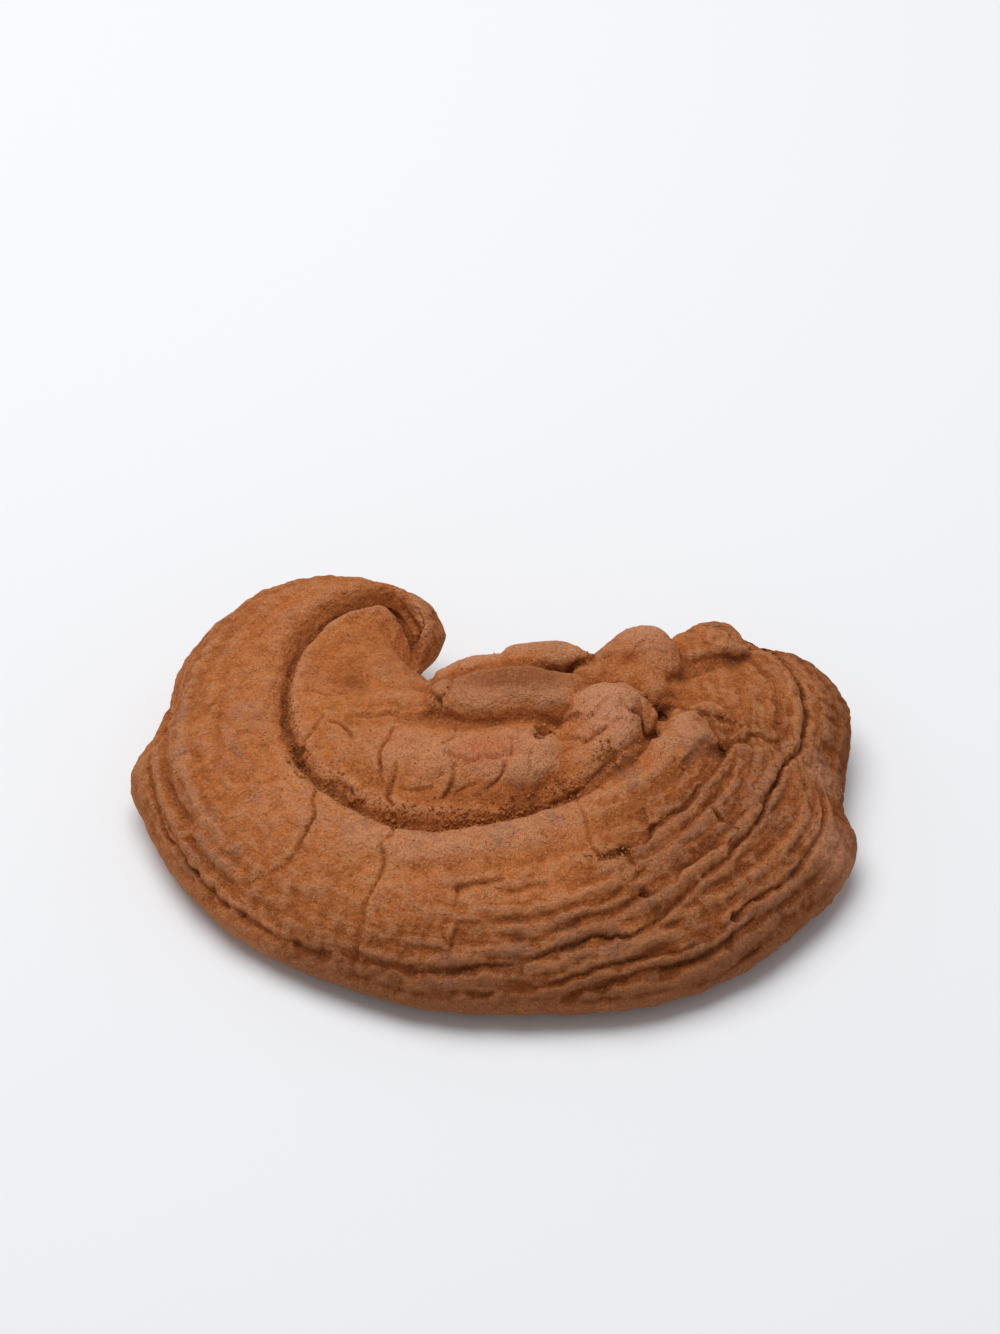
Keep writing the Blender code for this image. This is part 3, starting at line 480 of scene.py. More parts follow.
# Ridges in the same way, with how far they stand out for the depth.
RIDGES = (
    # roll inside the main furrow
    (2, (50, 38, 0.36), (55.5, 39, 0.72), (61, 41, 0.86), (68, 44, 1.15), (71.5, 41, 1.3), (74, 35, 1.44),
     (76, 25, 1.44), (74.5, 13.5, 1.3), (68, 0, 1.3), (66, -5.5, 1.37), (61.5, -14.5, 1.37),
     (59, -18.5, 1.37), (53, -24.5, 1.3, 1.9), (50.5, -27, 1.3, 1.8), (45, -32, 1.22, 1.7),
     (42.5, -34.5, 1.15, 1.6), (34.5, -40, 1.08, 1.5), (27.5, -43.5, 1.3, 1.4), (23.5, -44.5, 1.3, 1.4),
     (16.5, -47, 1.08, 1.4), (11, -49, 0.94, 1.5), (2.5, -48.5, 1.15, 1.4), (-6.5, -50.5, 0.86, 1.3),
     (-10.5, -50.5, 0.65, 1.3), (-16.5, -50.5, 0.58, 1.2), (-24, -49, 0.5, 1.2), (-30, -47.5, 0.43, 1.3)),
    # outside it
    (1.05, (84, 42, 0.56, 2.1), (87, 33, 0.56, 2.31), (86.5, 25, 0.56, 2.31), (80, 15.5, 0.42, 2.1),
     (73, 4, 0.98, 1.58), (71, -1, 0.98, 1.68), (67, -10, 0.98, 1.47), (65.5, -14, 0.98, 1.47),
     (63.5, -17, 1.05, 1.47), (62, -19.5, 1.05, 1.47), (59.5, -22.5, 1.05, 1.47), (57.5, -25, 1.05, 1.47),
     (55, -28, 0.98, 1.37), (52, -30.5, 0.98, 1.37), (47, -36, 0.91, 1.26), (44, -38.5, 0.98, 1.16),
     (42, -40.5, 0.84, 1.16), (35.5, -45, 0.84, 1.16), (28.5, -47.5, 0.98), (21, -49.5, 1.12),
     (18, -50.5, 0.98), (15, -52, 0.84), (1.5, -54, 0.91), (-2.5, -54, 0.91), (-5.5, -54.5, 0.7),
     (-12, -54.5, 0.56), (-20, -53.5, 0.42)),
    # between them and the second furrow
    (1.4, (77.5, 0, 0.28), (76.5, -8, 0.56), (75, -13, 0.7), (72, -18, 0.84), (69.5, -22, 0.84),
     (62, -29, 0.7), (51.5, -37, 0.7), (43, -43.5, 0.63), (31, -49.5, 0.7, 1.2), (26.5, -50.5, 0.56, 1.2),
     (16.5, -53.5, 0.42, 1.1)),
    # outside the second furrow
    (1.4, (83.5, 0.5, 0.35, 1.8), (83, -9, 0.56, 1.8), (81, -14.5, 0.84, 1.7), (75.5, -23, 0.91, 1.6),
     (69, -29.5, 0.91), (61.5, -36, 0.84), (58, -39.5, 0.84), (50.5, -45.5, 0.91), (47, -47, 0.84, 1.2),
     (42, -49, 0.7, 1.2), (33, -52, 0.77, 1), (23, -54, 0.7, 1), (18.5, -55.5, 0.56, 1),
     (12.5, -56.5, 0.42, 1)),
    # between the thin ones and the rim
    (1.33, (67.5, -37, 0.56, 1.9), (62.5, -40.5, 0.96, 1.71), (59, -44, 0.96, 1.52), (51, -49, 0.8),
     (46.5, -51, 0.72), (41, -53.5, 0.64, 1.23), (28.5, -56, 0.48, 1.04)),
    # the worn ridge inside the rings
    (1.65, (62, 7.5, 0.42), (59, -2.5, 1.05), (55.5, -10.5, 1.26), (53.5, -13, 0.98), (51, -16.5, 0.98),
     (46, -21.5, 0.91), (39.5, -27, 0.98), (36.5, -29, 0.7, 1.32)),
    # between the worn ridge and the roll
    (1.4, (67.5, 9, 0.56, 2), (65, 3, 0.7), (60, -13.5, 0.42), (57.5, -19, 0.28)),
    # first of the front rings
    (1.4, (40.5, -31, 0.3), (35.5, -33.5, 0.6), (30.5, -33.5, 0.9), (27, -35, 0.98), (24, -36, 1.05),
     (17, -38, 0.83), (7.5, -40.5, 0.6), (-4.5, -40, 0.22)),
    # second of the front rings
    (1.3, (35.5, -38.5, 0.32), (30.5, -37.5, 0.48), (25.5, -40, 0.64), (21, -41, 0.64), (15, -43, 0.64),
     (4.5, -44.5, 0.4), (-1.5, -44, 0.24)),
    # ring beside the step furrow
    (1.2, (57.5, 4, 0.56), (56.5, -0.5, 0.84), (54, -4.5, 0.91), (50, -11, 0.91), (45.5, -16, 0.7),
     (40, -20.5, 0.77), (38, -23, 0.7), (35.5, -25, 0.42)),
    # below the pits
    (1.8, (26, -31, 0.5), (29.5, -29.5, 0.9), (32.5, -31, 0.8), (28, -32.5, 0.5)),
    # the crest of the first roll
    (4.5, (-43.5, -11, 0.24), (-36.5, -17, 0.42), (-28, -21, 0.48, 4), (-20.5, -23.5, 0.72),
     (-13, -24.5, 0.84), (6.5, -20.5, 1.02), (16.5, -16, 1.02), (26.5, -11.5, 1.08), (34, -5.5, 1.08),
     (41.5, 2.5, 0.96), (47.5, 7.5, 0.72, 5)),
    # ridge along the left-hand rim
    (1.3, (-85.5, 14, 1), (-83.5, 3.5, 1.4), (-80.5, -4.5, 1.6), (-78, -9.5, 1.6), (-74.5, -16.5, 1.7),
     (-66.5, -27.5, 0.8), (-55, -36.5, 0.9, 1.1), (-51, -39, 0.6)),
    # soft ring on the left
    (1.8, (-71.5, 48.5, 0.4), (-76, 39.5, 0.7), (-78.5, 30.5, 0.9), (-78.5, 19.5, 0.9), (-78, 11, 0.9),
     (-77, 4, 0.9), (-72.5, -7.5, 1, 1.7), (-69.5, -11.5, 1.1, 1.6), (-67, -15.5, 1, 1.5),
     (-63.5, -19, 0.6)),
    # inner ring on the left
    (1.6, (-73.5, -10.5, 0.5), (-71.5, -15, 0.9), (-68, -19.5, 1), (-65, -23, 0.9), (-62, -25.5, 0.5)),
    # crest of the twisted fold
    (1.4, (31.5, 17.5, 0.6), (34.5, 18, 1.2), (37, 16.5, 1.3, 1.5), (38.5, 11.5, 0.8, 1.5),
     (41.5, 20.5, 1)),
    # lip of the ledge behind the terrace
    (1.5, (-41.5, 20.5, 0.3), (-36, 20.5, 0.7), (-26.5, 19.5, 0.8), (-22.5, 18.5, 0.7), (-17, 19, 0.5)),
    # behind the step on the right lobe
    (1.6, (51, 7.5, 0.3), (56.5, 9.5, 0.5), (63, 13.5, 0.6), (68, 14, 0.5), (72, 15, 0.3)),
)

# Where the powder is worn through to the crust: x, y, radius.
WORN = (
    (58, -8, 4), (63.5, -6, 4), (66, 2, 4), (54, -13, 3.5), (50, -18, 4), (44, -23, 4), (38.5, -26, 4),
    (60, -17, 4), (70, -12, 4), (60, -40, 5), (67, -34, 5), (52, -46, 5), (75, -24, 5), (88, -9, 5),
    (30, -47, 4), (18, -46, 4), (6.5, -48.5, 4), (1.5, -54, 4), (-12, -53, 4), (40, -36, 4), (84, 12, 5),
    (-70, -10, 4), (-73, -17, 4), (-66, -20, 4), (-76, 0, 4), (-78, 12, 4), (-79, 25, 4), (-64, 8, 6),
    (-62, 20, 5), (2, -21, 5), (14, -17, 4), (33, -4, 5), (-17, -22, 4), (-34, -17, 4), (-58, -6, 4),
)

# Where the powder is fresh and pale: x, y, radius.
PALE = ((47.6, 8.4, 6), (84.7, -14.6, 7), (29, 13, 8), (82, 8, 5))

# Pits and dents: x, y, depth, radius.
PITS = (
    (31.5, -24.5, 1.4, 1.8), (26, -27.5, 1, 1.5), (28.5, -26, 0.8, 1.2), (42, 20.5, 0.8, 1.4),
    (11.5, 6, 2.6, 1.7), (40.5, 10.5, 0.8, 1.4), (-69, -26, 1, 1.3), (-66, -29, 0.7, 1),
    (-62, -32.5, 1, 0.9), (-73, -20.5, 0.8, 1.2), (-48, -42, 1, 1.2), (-42, -45, 0.6, 1),
    (-48.5, 9.5, 1.2, 1), (-48, 6, 0.8, 0.8), (-48, 4.5, 1.2, 0.8), (-39.5, -3, 0.7, 1.6),
    (-37, -5, 1, 1.3), (-35, -6, 1.4, 1), (-53, -10.5, 0.5, 2), (-62, 0, 0.7, 2.6), (50.5, -37, 0.6, 1),
    (59, -37, 1, 1), (36.5, -35.5, 1, 1), (-13.5, 19.5, 0.8, 0.9), (86, 37, 0.5, 1), (86, 31, 0.5, 0.9),
    (86.5, 27, 0.6, 1), (87.5, 23.5, 0.4, 0.8), (83.5, 18, 0.5, 1.1), (84, 8, 0.6, 1), (80, 9.5, 0.4, 0.9),
    (79, 14.5, 0.4, 0.9), (82.5, 12, 0.4, 0.8), (85.5, 13.5, 0.4, 0.8), (56.5, 3, 0.6, 0.8),
    (28, 9, 0.5, 0.7), (25.5, 12.5, 0.4, 0.6), (20.5, 11.5, 0.4, 0.7), (67.5, 25.5, 0.4, 1),
    (63, 28, 0.4, 1.1), (58, 28.5, 0.4, 1.2), (52, 27.5, 0.4, 1.2), (72, 19.5, 0.4, 1),
    (65, 21, 0.5, 1), (51.5, 13.5, 0.3, 1), (61.5, 9.5, 0.3, 0.8), (67, -4.5, 0.4, 0.9),
    (72.5, -5.5, 0.4, 1), (76, -8, 0.4, 1), (71.5, -15.5, 0.4, 1.1), (75.5, -17.5, 0.4, 1),
    (66, -23.5, 0.5, 1), (61.5, -29, 0.5, 1), (5.5, -41.5, 0.6, 1), (11.5, -21, 0.7, 0.8),
    (4, -36.5, 0.5, 0.8), (9, -32.5, 0.6, 0.8), (12, -28.5, 0.4, 0.8), (-35, -31, 0.4, 0.9),
    (-55, -34, 0.4, 0.9), (-60, -29, 0.4, 0.9), (-18, -29.5, 0.5, 2.2), (-10.5, -30.5, 0.4, 2),
    (-36, 15.5, 0.6, 2.4), (-31, 20.5, 0.5, 2), (-35.5, 33.5, 0.7, 4), (-39.5, 37, 0.35, 4),
)

MARGIN_LENGTH = 430.0     # about what the outer margin measures
END_ROWS = 0.02 * ROWS    # cross-sections over which the relief fades in at either end
RIM = 1.8                 # how far up from a margin the relief of the top fades in


def unevenness(points, size, octaves=2, seed=0.0):
    """Natural unevenness from about -1 to 1, with humps of this size in millimetres."""
    return np.array([noise.fractal((x / size + seed, y / size, z / size), 1.0, 2.0, octaves)
                     for x, y, z in points])


def normals_of(sections):
    """The unit normal at each point of the cross-sections, pointing out of the body."""
    along = np.gradient(sections, axis=0)
    around = (np.roll(sections, -1, 1) - np.roll(sections, 1, 1)) / 2
    normal = np.cross(along, around)
    return normal / (np.linalg.norm(normal, axis=2, keepdims=True) + 1e-9)


def blurred(sections, rows, steps):
    """Each point's neighbourhood mean, over this many rows and steps to each side."""
    padded = np.pad(sections, ((rows, rows), (0, 0), (0, 0)), mode="edge")
    total = sum(padded[shift:shift + len(sections)] for shift in range(2 * rows + 1))
    mean = total / (2 * rows + 1)
    return sum(np.roll(mean, shift, 1) for shift in range(-steps, steps + 1)) / (2 * steps + 1)


def laid_on(points, line, tree):
    """The line as a smooth curve on the surface: x, y, z, depth and half-width."""
    width, *route = line
    curve = smooth_curve([(*point, width)[:4] for point in route], 6)
    heights = [points[tree.find((x, y, 0))[1]][2] for x, y in curve[:, :2]]
    return np.column_stack([curve[:, :2], heights, curve[:, 2:]])


def worked_line(points, curve, power):
    """How deep or high the furrow or ridge along this curve is at each point."""
    strength = np.zeros(len(points))
    reach = 4 * curve[:, 4].max()
    low, high = curve[:, :3].min(0) - reach, curve[:, :3].max(0) + reach
    near = np.all((points > low) & (points < high), axis=1)
    distance, _, values = nearest(points[near], curve)
    strength[near] = values[:, 0] * np.exp(-(distance / values[:, 1]) ** power)
    return strength


sections = cross_sections()
grid = sections.shape[:2]
band = sections[..., 3]
inside = sections[..., 4]
skin = sections[..., :3].copy()
on_top = np.zeros(grid, bool)
on_top[:, 1:TOP_STEPS - 1] = True
row_ends = fade(np.minimum(np.arange(ROWS), np.arange(ROWS)[::-1]) / END_ROWS)[:, None]
along_margin = np.arange(ROWS)[:, None] / ROWS * MARGIN_LENGTH + np.zeros(grid)

# Lengths on the skin from the outer margin, over the top and round below, and to the back margin.
step_lengths = np.linalg.norm(np.roll(skin, -1, 1) - skin, axis=2)
over_top = np.cumsum(step_lengths, axis=1) - step_lengths
round_below = np.cumsum(step_lengths[:, ::-1], axis=1)[:, ::-1]
up_from_margin = np.where(on_top, over_top, np.minimum(over_top, round_below))
to_back = over_top[:, TOP_STEPS - 1:TOP_STEPS] - over_top
margin_fade = fade(np.minimum(over_top, to_back) / RIM) * on_top
rough_part = np.where(on_top, fade(to_back / RIM) * (0.6 + 0.4 * fade(over_top / 3)),
                      0.6 - 0.6 * fade((up_from_margin - 3.0) / 5.0))

# How strongly the rings show: on the right and in front, less on the left lobe and the plain.
x_place = sections[..., 0]
y_place = sections[..., 1]
outer_part = 1 - fade((band - 0.30) / 0.45)
right_part = fade((x_place - 10) / 40) * (1 - fade((band - 0.72) / 0.2))
front_part = fade((-36 - y_place) / 14)
before_knobs = 1 - fade((y_place - 12) / 10)
beyond_left_lobe = fade((x_place + 45) / 30)
near_margin = 1 - fade((up_from_margin - 12) / 10)
ringed = np.clip(0.25 * outer_part + 0.35 * near_margin + 0.9 * right_part * before_knobs
                 + 0.9 * front_part * beyond_left_lobe + 0.35 * right_part, 0, 1)


def drawn_out(up, along, octaves, seed):
    """Unevenness with humps this long up from the margin and along it, in millimetres."""
    place = np.stack([up_from_margin / up, along_margin / along, np.full(grid, seed)], -1)
    return unevenness(place.reshape(-1, 3), 1.0, octaves).reshape(grid)


# Long rings, the notches and wrinkles across them, and humps of three sizes without a direction.
flat_points = skin.reshape(-1, 3)
rings = drawn_out(2.3, 40, 3, 0.0)
notches = drawn_out(5, 4.6, 3, 7.0)
wrinkles = drawn_out(3.6, 1.7, 2, 3.0)
broad = unevenness(flat_points, 17.0, 2, 3.1).reshape(grid)
lumpy = unevenness(flat_points, 6.5, 2, 8.7).reshape(grid)
knobbly = unevenness(flat_points, 2.6, 2, 5.3).reshape(grid)
out = 0.45 * broad + (0.36 + 0.22 * ringed) * lumpy + (0.20 + 0.26 * ringed) * knobbly
out += (0.12 + 0.40 * ringed) * rings + 0.45 * ringed * notches + (0.03 + 0.12 * ringed) * wrinkles - 0.30
skin += normals_of(skin) * (out * row_ends * rough_part)[..., None]

top_points = skin[:, :TOP_STEPS].reshape(-1, 3)
top_tree = kdtree.KDTree(len(top_points))
for index, (x, y, _) in enumerate(top_points):
    top_tree.insert((x, y, 0), index)
top_tree.balance()

# The lines waver and vary in depth as real ones do. Only narrow furrows are darkened: painted shade,
# with dark powder in them as well.
waver = 0.45 * np.stack([unevenness(top_points, 5.0, 2, seed) for seed in (11.0, 17.0, 23.0)], 1)
sunk = np.zeros(len(top_points))
dark = np.zeros(len(top_points))
raised = np.zeros(len(top_points))
for line in FURROWS:
    curve = laid_on(top_points, line, top_tree)
    worked = worked_line(top_points + waver, curve, 1.5)
    sunk += worked
    dark += worked * (1 - 0.8 * fade((curve[:, 4].mean() - 1.1) / 0.8))
for line in RIDGES:
    curve = laid_on(top_points, line, top_tree)
    raised += worked_line(top_points + waver, curve, 2.0)
pitted = np.zeros(len(top_points))
for x, y, depth, radius in PITS:
    pitted += depth * hill(top_points + 2 * waver, x, y, radius, radius)
raised *= 1 + 0.7 * unevenness(top_points, 5.0, 2, 31.0)
sunk *= 1 + 0.35 * unevenness(top_points, 6.0, 2, 37.0)
carving = np.zeros(grid)
carving[:, :TOP_STEPS] = (raised - sunk - pitted).reshape(ROWS, TOP_STEPS)
skin += normals_of(skin) * (carving * row_ends * margin_fade)[..., None]

# The pore surface is faintly dimpled, and never reaches below what it rests on.
dimples = np.abs(unevenness(flat_points, 9.0, 3, 41.0)).reshape(grid)
skin[..., 2] += np.where(on_top, 0.0, 0.5 * dimples * fade(inside / 4))
skin[..., 2] = np.maximum(skin[..., 2], 0.0)

# What the finish reads: hollows, crests, worn and pale places, the pore surface, and the place
# across the growth and along it. Hollows, cracks, the wall below the rim and the back ridge get
# painted shade, and crests a painted highlight.
normal = normals_of(skin)
small_relief = ((skin - blurred(skin, 4, 4)) * normal).sum(2)
large_relief = ((skin - blurred(skin, 14, 12)) * normal).sum(2)
roll_relief = ((skin - blurred(skin, ROWS // 22, LOOP_STEPS // 11)) * normal).sum(2)
crevice = np.zeros(grid)
crevice[:, :TOP_STEPS] = np.clip((dark + pitted - 0.45) / 1.5, 0, 1).reshape(ROWS, TOP_STEPS)
crevice *= fade((over_top - 1.0) / 5.0)
worn = np.zeros(grid)
for x, y, reach in WORN:
    worn = np.maximum(worn, hill(skin, x, y, reach, reach))
pale = np.zeros(grid)
for x, y, reach in PALE:
    pale = np.maximum(pale, hill(skin, x, y, reach, reach))
worn *= on_top * np.clip(0.5 + 2.4 * unevenness(flat_points, 2.0, 3, 61.0).reshape(grid), 0, 1)
inward = 0.2 + 0.8 * fade((up_from_margin - 1.0) / 6.0)
marks = {
    # cracks and broad hollows: painted shade, and dark powder in the cracks
    "crevice": np.clip(crevice + 0.2 * np.clip(-large_relief / 2.2, 0, 1), 0, 1),
    "crest": np.clip(0.5 + (1.7 * small_relief + 0.25 * large_relief) * inward, 0, 1),
    "rolls": np.clip(roll_relief / 4, 0, 1) * (1 - np.clip(1.3 * ringed, 0, 1)) * fade(inside / 8),
    "worn": np.clip(worn * (0.6 + 2.5 * np.clip(small_relief + 0.1, 0, 0.5)), 0, 1),
    "rubbed": hill(skin, -1.5, 1.5, 9.0, 5.0) * on_top,
    # painted shade on the back ridge's face
    "shaded_ridge": hill(skin, 5.0, 23.0, 17.0, 5.0) * on_top,
    "pale": pale,
    "pores": np.where(on_top, 0.0, fade((inside - 3.0) / 3.5)),
    "band": band,
    "along": along_margin / MARGIN_LENGTH,
    "ringed": ringed,
    # where painted shade darkens the wall below the rim
    "rim": (1 - fade((up_from_margin - 5) / 12)) * np.clip(2 * front_part + right_part, 0, 1),
}


# ---- Fruiting body: mesh -------------------------------------------------------------------
# The skin is drawn out of a sphere, with a pole at each end of the body, and thinned so that its
# triangles sit where it curves. The stub at the back is then cut off flat, as it came off its wood.
MM = 0.001
TRIANGLES = 196000
CUT_Y = 37.0
CUT_FROM_X, CUT_TO_X = -16.3, 23.5
STUB_BEFORE, STUB_BEHIND = 8.0, 9.0   # how far the stub reaches to either side of the cut
ON_THE_CUT = 0.02                     # a vertex this near the cut's plane counts as on it
SHORTEST_EDGE = 0.15                  # of the cut's rim
CRUST_SLOT, CORK_SLOT = 0, 1          # material slots
FRAME_SHIFT = (0.31, -8.35)           # from the plan above to the frame, which is centred on the body


def placed(name, bm):
    """A new object of this name that takes over the bmesh."""
    mesh = bpy.data.meshes.new(name)
    bm.to_mesh(mesh)
    bm.free()
    piece = bpy.data.objects.new(name, mesh)
    bpy.context.scene.collection.objects.link(piece)
    return piece


def kept_in_box(bm):
    """Moves whatever stands out of the solid's box back onto it."""
    for vert in bm.verts:
        for axis in range(3):
            vert.co[axis] = min(max(vert.co[axis], cad_box[0][axis]), cad_box[1][axis])


def closed_skin(skin, marks):
    """The cross-sections as one closed mesh that carries the marks at its vertices."""
    bm = bmesh.new()
    layers = {name: bm.verts.layers.float.new(name) for name in marks}
    bmesh.ops.create_uvsphere(bm, u_segments=LOOP_STEPS, v_segments=ROWS - 1, radius=1)
    for vert in bm.verts:
        x, y, z = vert.co
        row = round(math.acos(max(-1.0, min(1.0, z))) / math.pi * (ROWS - 1))
        step = round(math.atan2(y, x) / math.tau * LOOP_STEPS) % LOOP_STEPS
        vert.co = skin[row].mean(0) if row in (0, ROWS - 1) else skin[row, step]
        for name, layer in layers.items():
            vert[layer] = marks[name][row, step]
    bmesh.ops.recalc_face_normals(bm, faces=bm.faces)
    if bm.calc_volume(signed=True) < 0:
        bmesh.ops.reverse_faces(bm, faces=bm.faces)
    return bm


def thinned(bm, triangles):
    """The same skin with its triangles spent where it curves."""
    bmesh.ops.triangulate(bm, faces=bm.faces)
    fine = placed("fine_skin", bm)
    thin = fine.modifiers.new("thin", "DECIMATE")
    thin.ratio = min(1.0, triangles / len(fine.data.polygons))
    shape = fine.evaluated_get(bpy.context.evaluated_depsgraph_get())
    result = bmesh.new()
    result.from_mesh(shape.to_mesh())
    shape.to_mesh_clear()
    bpy.data.objects.remove(fine)
    return result


def cut_from_wood(bm):
    """Cuts the stub flat on one upright plane and closes the cut with a face of its own material."""
    stub = [face for face in bm.faces
            if CUT_FROM_X < face.calc_center_median().x < CUT_TO_X
            and CUT_Y - STUB_BEFORE < face.calc_center_median().y < CUT_Y + STUB_BEHIND]
    geometry = stub + list(dict.fromkeys(edge for face in stub for edge in face.edges))
    geometry += list(dict.fromkeys(vert for face in stub for vert in face.verts))
    bmesh.ops.bisect_plane(bm, geom=geometry, dist=ON_THE_CUT, plane_co=(0, CUT_Y, 0),
                           plane_no=(0, 1, 0), clear_outer=True)
    rim = [vert for vert in bm.verts if any(edge.is_boundary for edge in vert.link_edges)]
    rim.sort(key=lambda vert: vert.co[:])      # a skin's own order isn't the same in each run
    bmesh.ops.remove_doubles(bm, verts=rim, dist=SHORTEST_EDGE)
    cut = bmesh.ops.holes_fill(bm, edges=[edge for edge in bm.edges if edge.is_boundary])["faces"]
    for face in cut:
        face.material_index = CORK_SLOT


bm = thinned(closed_skin(skin, marks), TRIANGLES)
cut_from_wood(bm)
bmesh.ops.triangulate(bm, faces=[face for face in bm.faces if len(face.verts) > 3])
for vert in bm.verts:
    vert.co.x = (vert.co.x + FRAME_SHIFT[0]) * MM
    vert.co.y = (vert.co.y + FRAME_SHIFT[1]) * MM
    vert.co.z *= MM
kept_in_box(bm)
body_tree = BVHTree.FromBMesh(bm)
grown_body = placed("grown_body", bm)
grown_body.data.shade_smooth()
for polygon in grown_body.data.polygons:
    polygon.use_smooth = polygon.material_index == CRUST_SLOT
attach(grown_body, "root")
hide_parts("fruiting_body")


# ---- Fruiting body: finish -----------------------------------------------------------------
# A hard red-brown crust under a soft, quite matt coat of rust-brown spore powder. The powder is dark
# in cracks and between the rings, paler and pinkish on the rolls, and worn through to the
# purple-grey crust on some ridges. Painted shade darkens the cracks, hollows, the wall below the rim
# and the back ridge, and a painted highlight lightens the crests. Below are pale tan pores, and the
# cut shows dry cork-like flesh.
def linear(hex_colour):
    """An sRGB hex value as the linear RGBA that the sockets take."""
    channels = [int(hex_colour[i:i + 2], 16) / 255 for i in (1, 3, 5)]
    return [c / 12.92 if c < 0.04045 else ((c + 0.055) / 1.055) ** 2.4 for c in channels] + [1.0]


def add_node(tree, kind, inputs=None, **settings):
    """Adds a node; each input is a value or the socket that it is linked from."""
    node = tree.nodes.new(kind)
    for name, value in settings.items():
        setattr(node, name, value)
    for socket, source in (inputs or {}).items():
        if isinstance(source, bpy.types.NodeSocket):
            tree.links.new(source, node.inputs[socket])
        else:
            node.inputs[socket].default_value = source
    return node


MIX_FACTOR, MIX_A, MIX_B, MIX_RESULT = 0, 6, 7, 2   # the colour sockets of a Mix node
PER_METRE = 1000.0                                  # pattern scale of a 1 mm feature



def new_material(name):
    """A new material, its node tree, its shader and the place on the piece that patterns read."""
    material = bpy.data.materials.new(name)
    material.use_nodes = True
    tree = material.node_tree
    place = add_node(tree, "ShaderNodeTexCoord").outputs["Object"]
    return material, tree, tree.nodes["Principled BSDF"], place


# Spore powder settled on a dry crust: it scatters light softly, so it has hardly any gloss.
crust, tree, shader, place = new_material("spore_powder_on_crust")
mark = {name: add_node(tree, "ShaderNodeAttribute", attribute_name=name).outputs["Fac"]
        for name in marks}

# Broad drifts, clots, and grain. A spore is a hundredth of a millimetre across, far too fine to show,
# so the grain is drawn as coarse as it needs to be seen.
drift = add_node(tree, "ShaderNodeTexNoise", {"Vector": place, "Scale": PER_METRE / 22,
                                              "Detail": 3.0, "Roughness": 0.55}).outputs["Fac"]
mottle = add_node(tree, "ShaderNodeTexNoise", {"Vector": place, "Scale": PER_METRE / 3.6,
                                               "Detail": 5.0, "Roughness": 0.65}).outputs["Fac"]
grain = add_node(tree, "ShaderNodeTexNoise", {"Vector": place, "Scale": PER_METRE / 0.75,
                                              "Detail": 3.0, "Roughness": 0.7}).outputs["Fac"]


def growth_noise(across, along, detail):
    """Noise drawn out with the growth, this many times across the roll and along the margin."""
    x = add_node(tree, "ShaderNodeMath", {0: mark["band"], 1: across}, operation="MULTIPLY").outputs[0]
    y = add_node(tree, "ShaderNodeMath", {0: mark["along"], 1: along}, operation="MULTIPLY").outputs[0]
    place_in_growth = add_node(tree, "ShaderNodeCombineXYZ", {"X": x, "Y": y}).outputs[0]
    return add_node(tree, "ShaderNodeTexNoise", {"Vector": place_in_growth, "Scale": 1.0,
                                                 "Detail": detail, "Roughness": 0.6}).outputs["Fac"]


streaks = growth_noise(26.0, 9.0, 4.0)
fibres = growth_noise(9.0, 480.0, 3.0)
in_rings = add_node(tree, "ShaderNodeMath", {0: mark["ringed"], 1: 0.82}, operation="MULTIPLY").outputs[0]

# The coats from the bottom up: what says where one lies, from which value of it to which, how much
# of the coat there is at the end of that, and its colour.
BARE_POWDER = "#c86a33"
COATS = (
    (drift, 0.0, 1.0, 1.0, "#de8b4c"),              # paler drifts
    (mottle, 0.45, 0.72, 0.55, "#9a4e24"),          # darker clots
    (mark["rolls"], 0.1, 0.9, 0.6, "#e3a080"),      # paler and pinkish on the tops of the broad rolls
    (streaks, 0.34, 0.68, in_rings, "#73361a"),     # dark streaks along the rings
    (mark["rim"], 0.0, 1.0, 0.65, "#7e3f1d"),       # painted shade on the wall below the rim
    (mark["crest"], 0.5, 0.0, 0.35, "#8a4720"),     # painted shade in hollows
    (mark["crest"], 0.5, 1.0, 0.5, "#d9986c"),      # painted highlight on crests, where the powder has also rubbed thin
    (mark["crevice"], 0.05, 0.8, 0.8, "#5e2d12"),   # painted shade in cracks, which also hold dark powder
    (mark["rubbed"], 0.2, 0.9, 0.7, "#d4754a"),     # orange patch on the terrace
    (mark["shaded_ridge"], 0.1, 0.8, 0.7, "#8a4618"),       # painted shade on the back ridge's face
    (mark["worn"], 0.1, 0.8, 0.55, "#aa765e"),      # crust showing through
    (grain, 0.54, 0.76, 0.6, "#e4ad80"),            # pale grains
    (grain, 0.46, 0.27, 0.4, "#7d401e"),            # dark grains
    (mark["ringed"], 0.2, 1.0, 0.2, "#90481a"),     # deeper tone where the rings are
    (mark["rim"], 0.3, 1.0, 0.3, "#7f3f16"),        # a deeper tone once more along the rim, which adds to its painted shade
    (mark["pale"], 0.1, 0.9, 0.45, "#e3a07a"),      # fresh powder
)
powder = linear(BARE_POWDER)
for where, start, end, most, hex_colour in COATS:
    amount = add_node(tree, "ShaderNodeMapRange", {0: where, 1: start, 2: end, 3: 0.0, 4: most}).outputs[0]
    powder = add_node(tree, "ShaderNodeMix", {MIX_FACTOR: amount, MIX_A: powder, MIX_B: linear(hex_colour)},
                      data_type="RGBA").outputs[MIX_RESULT]

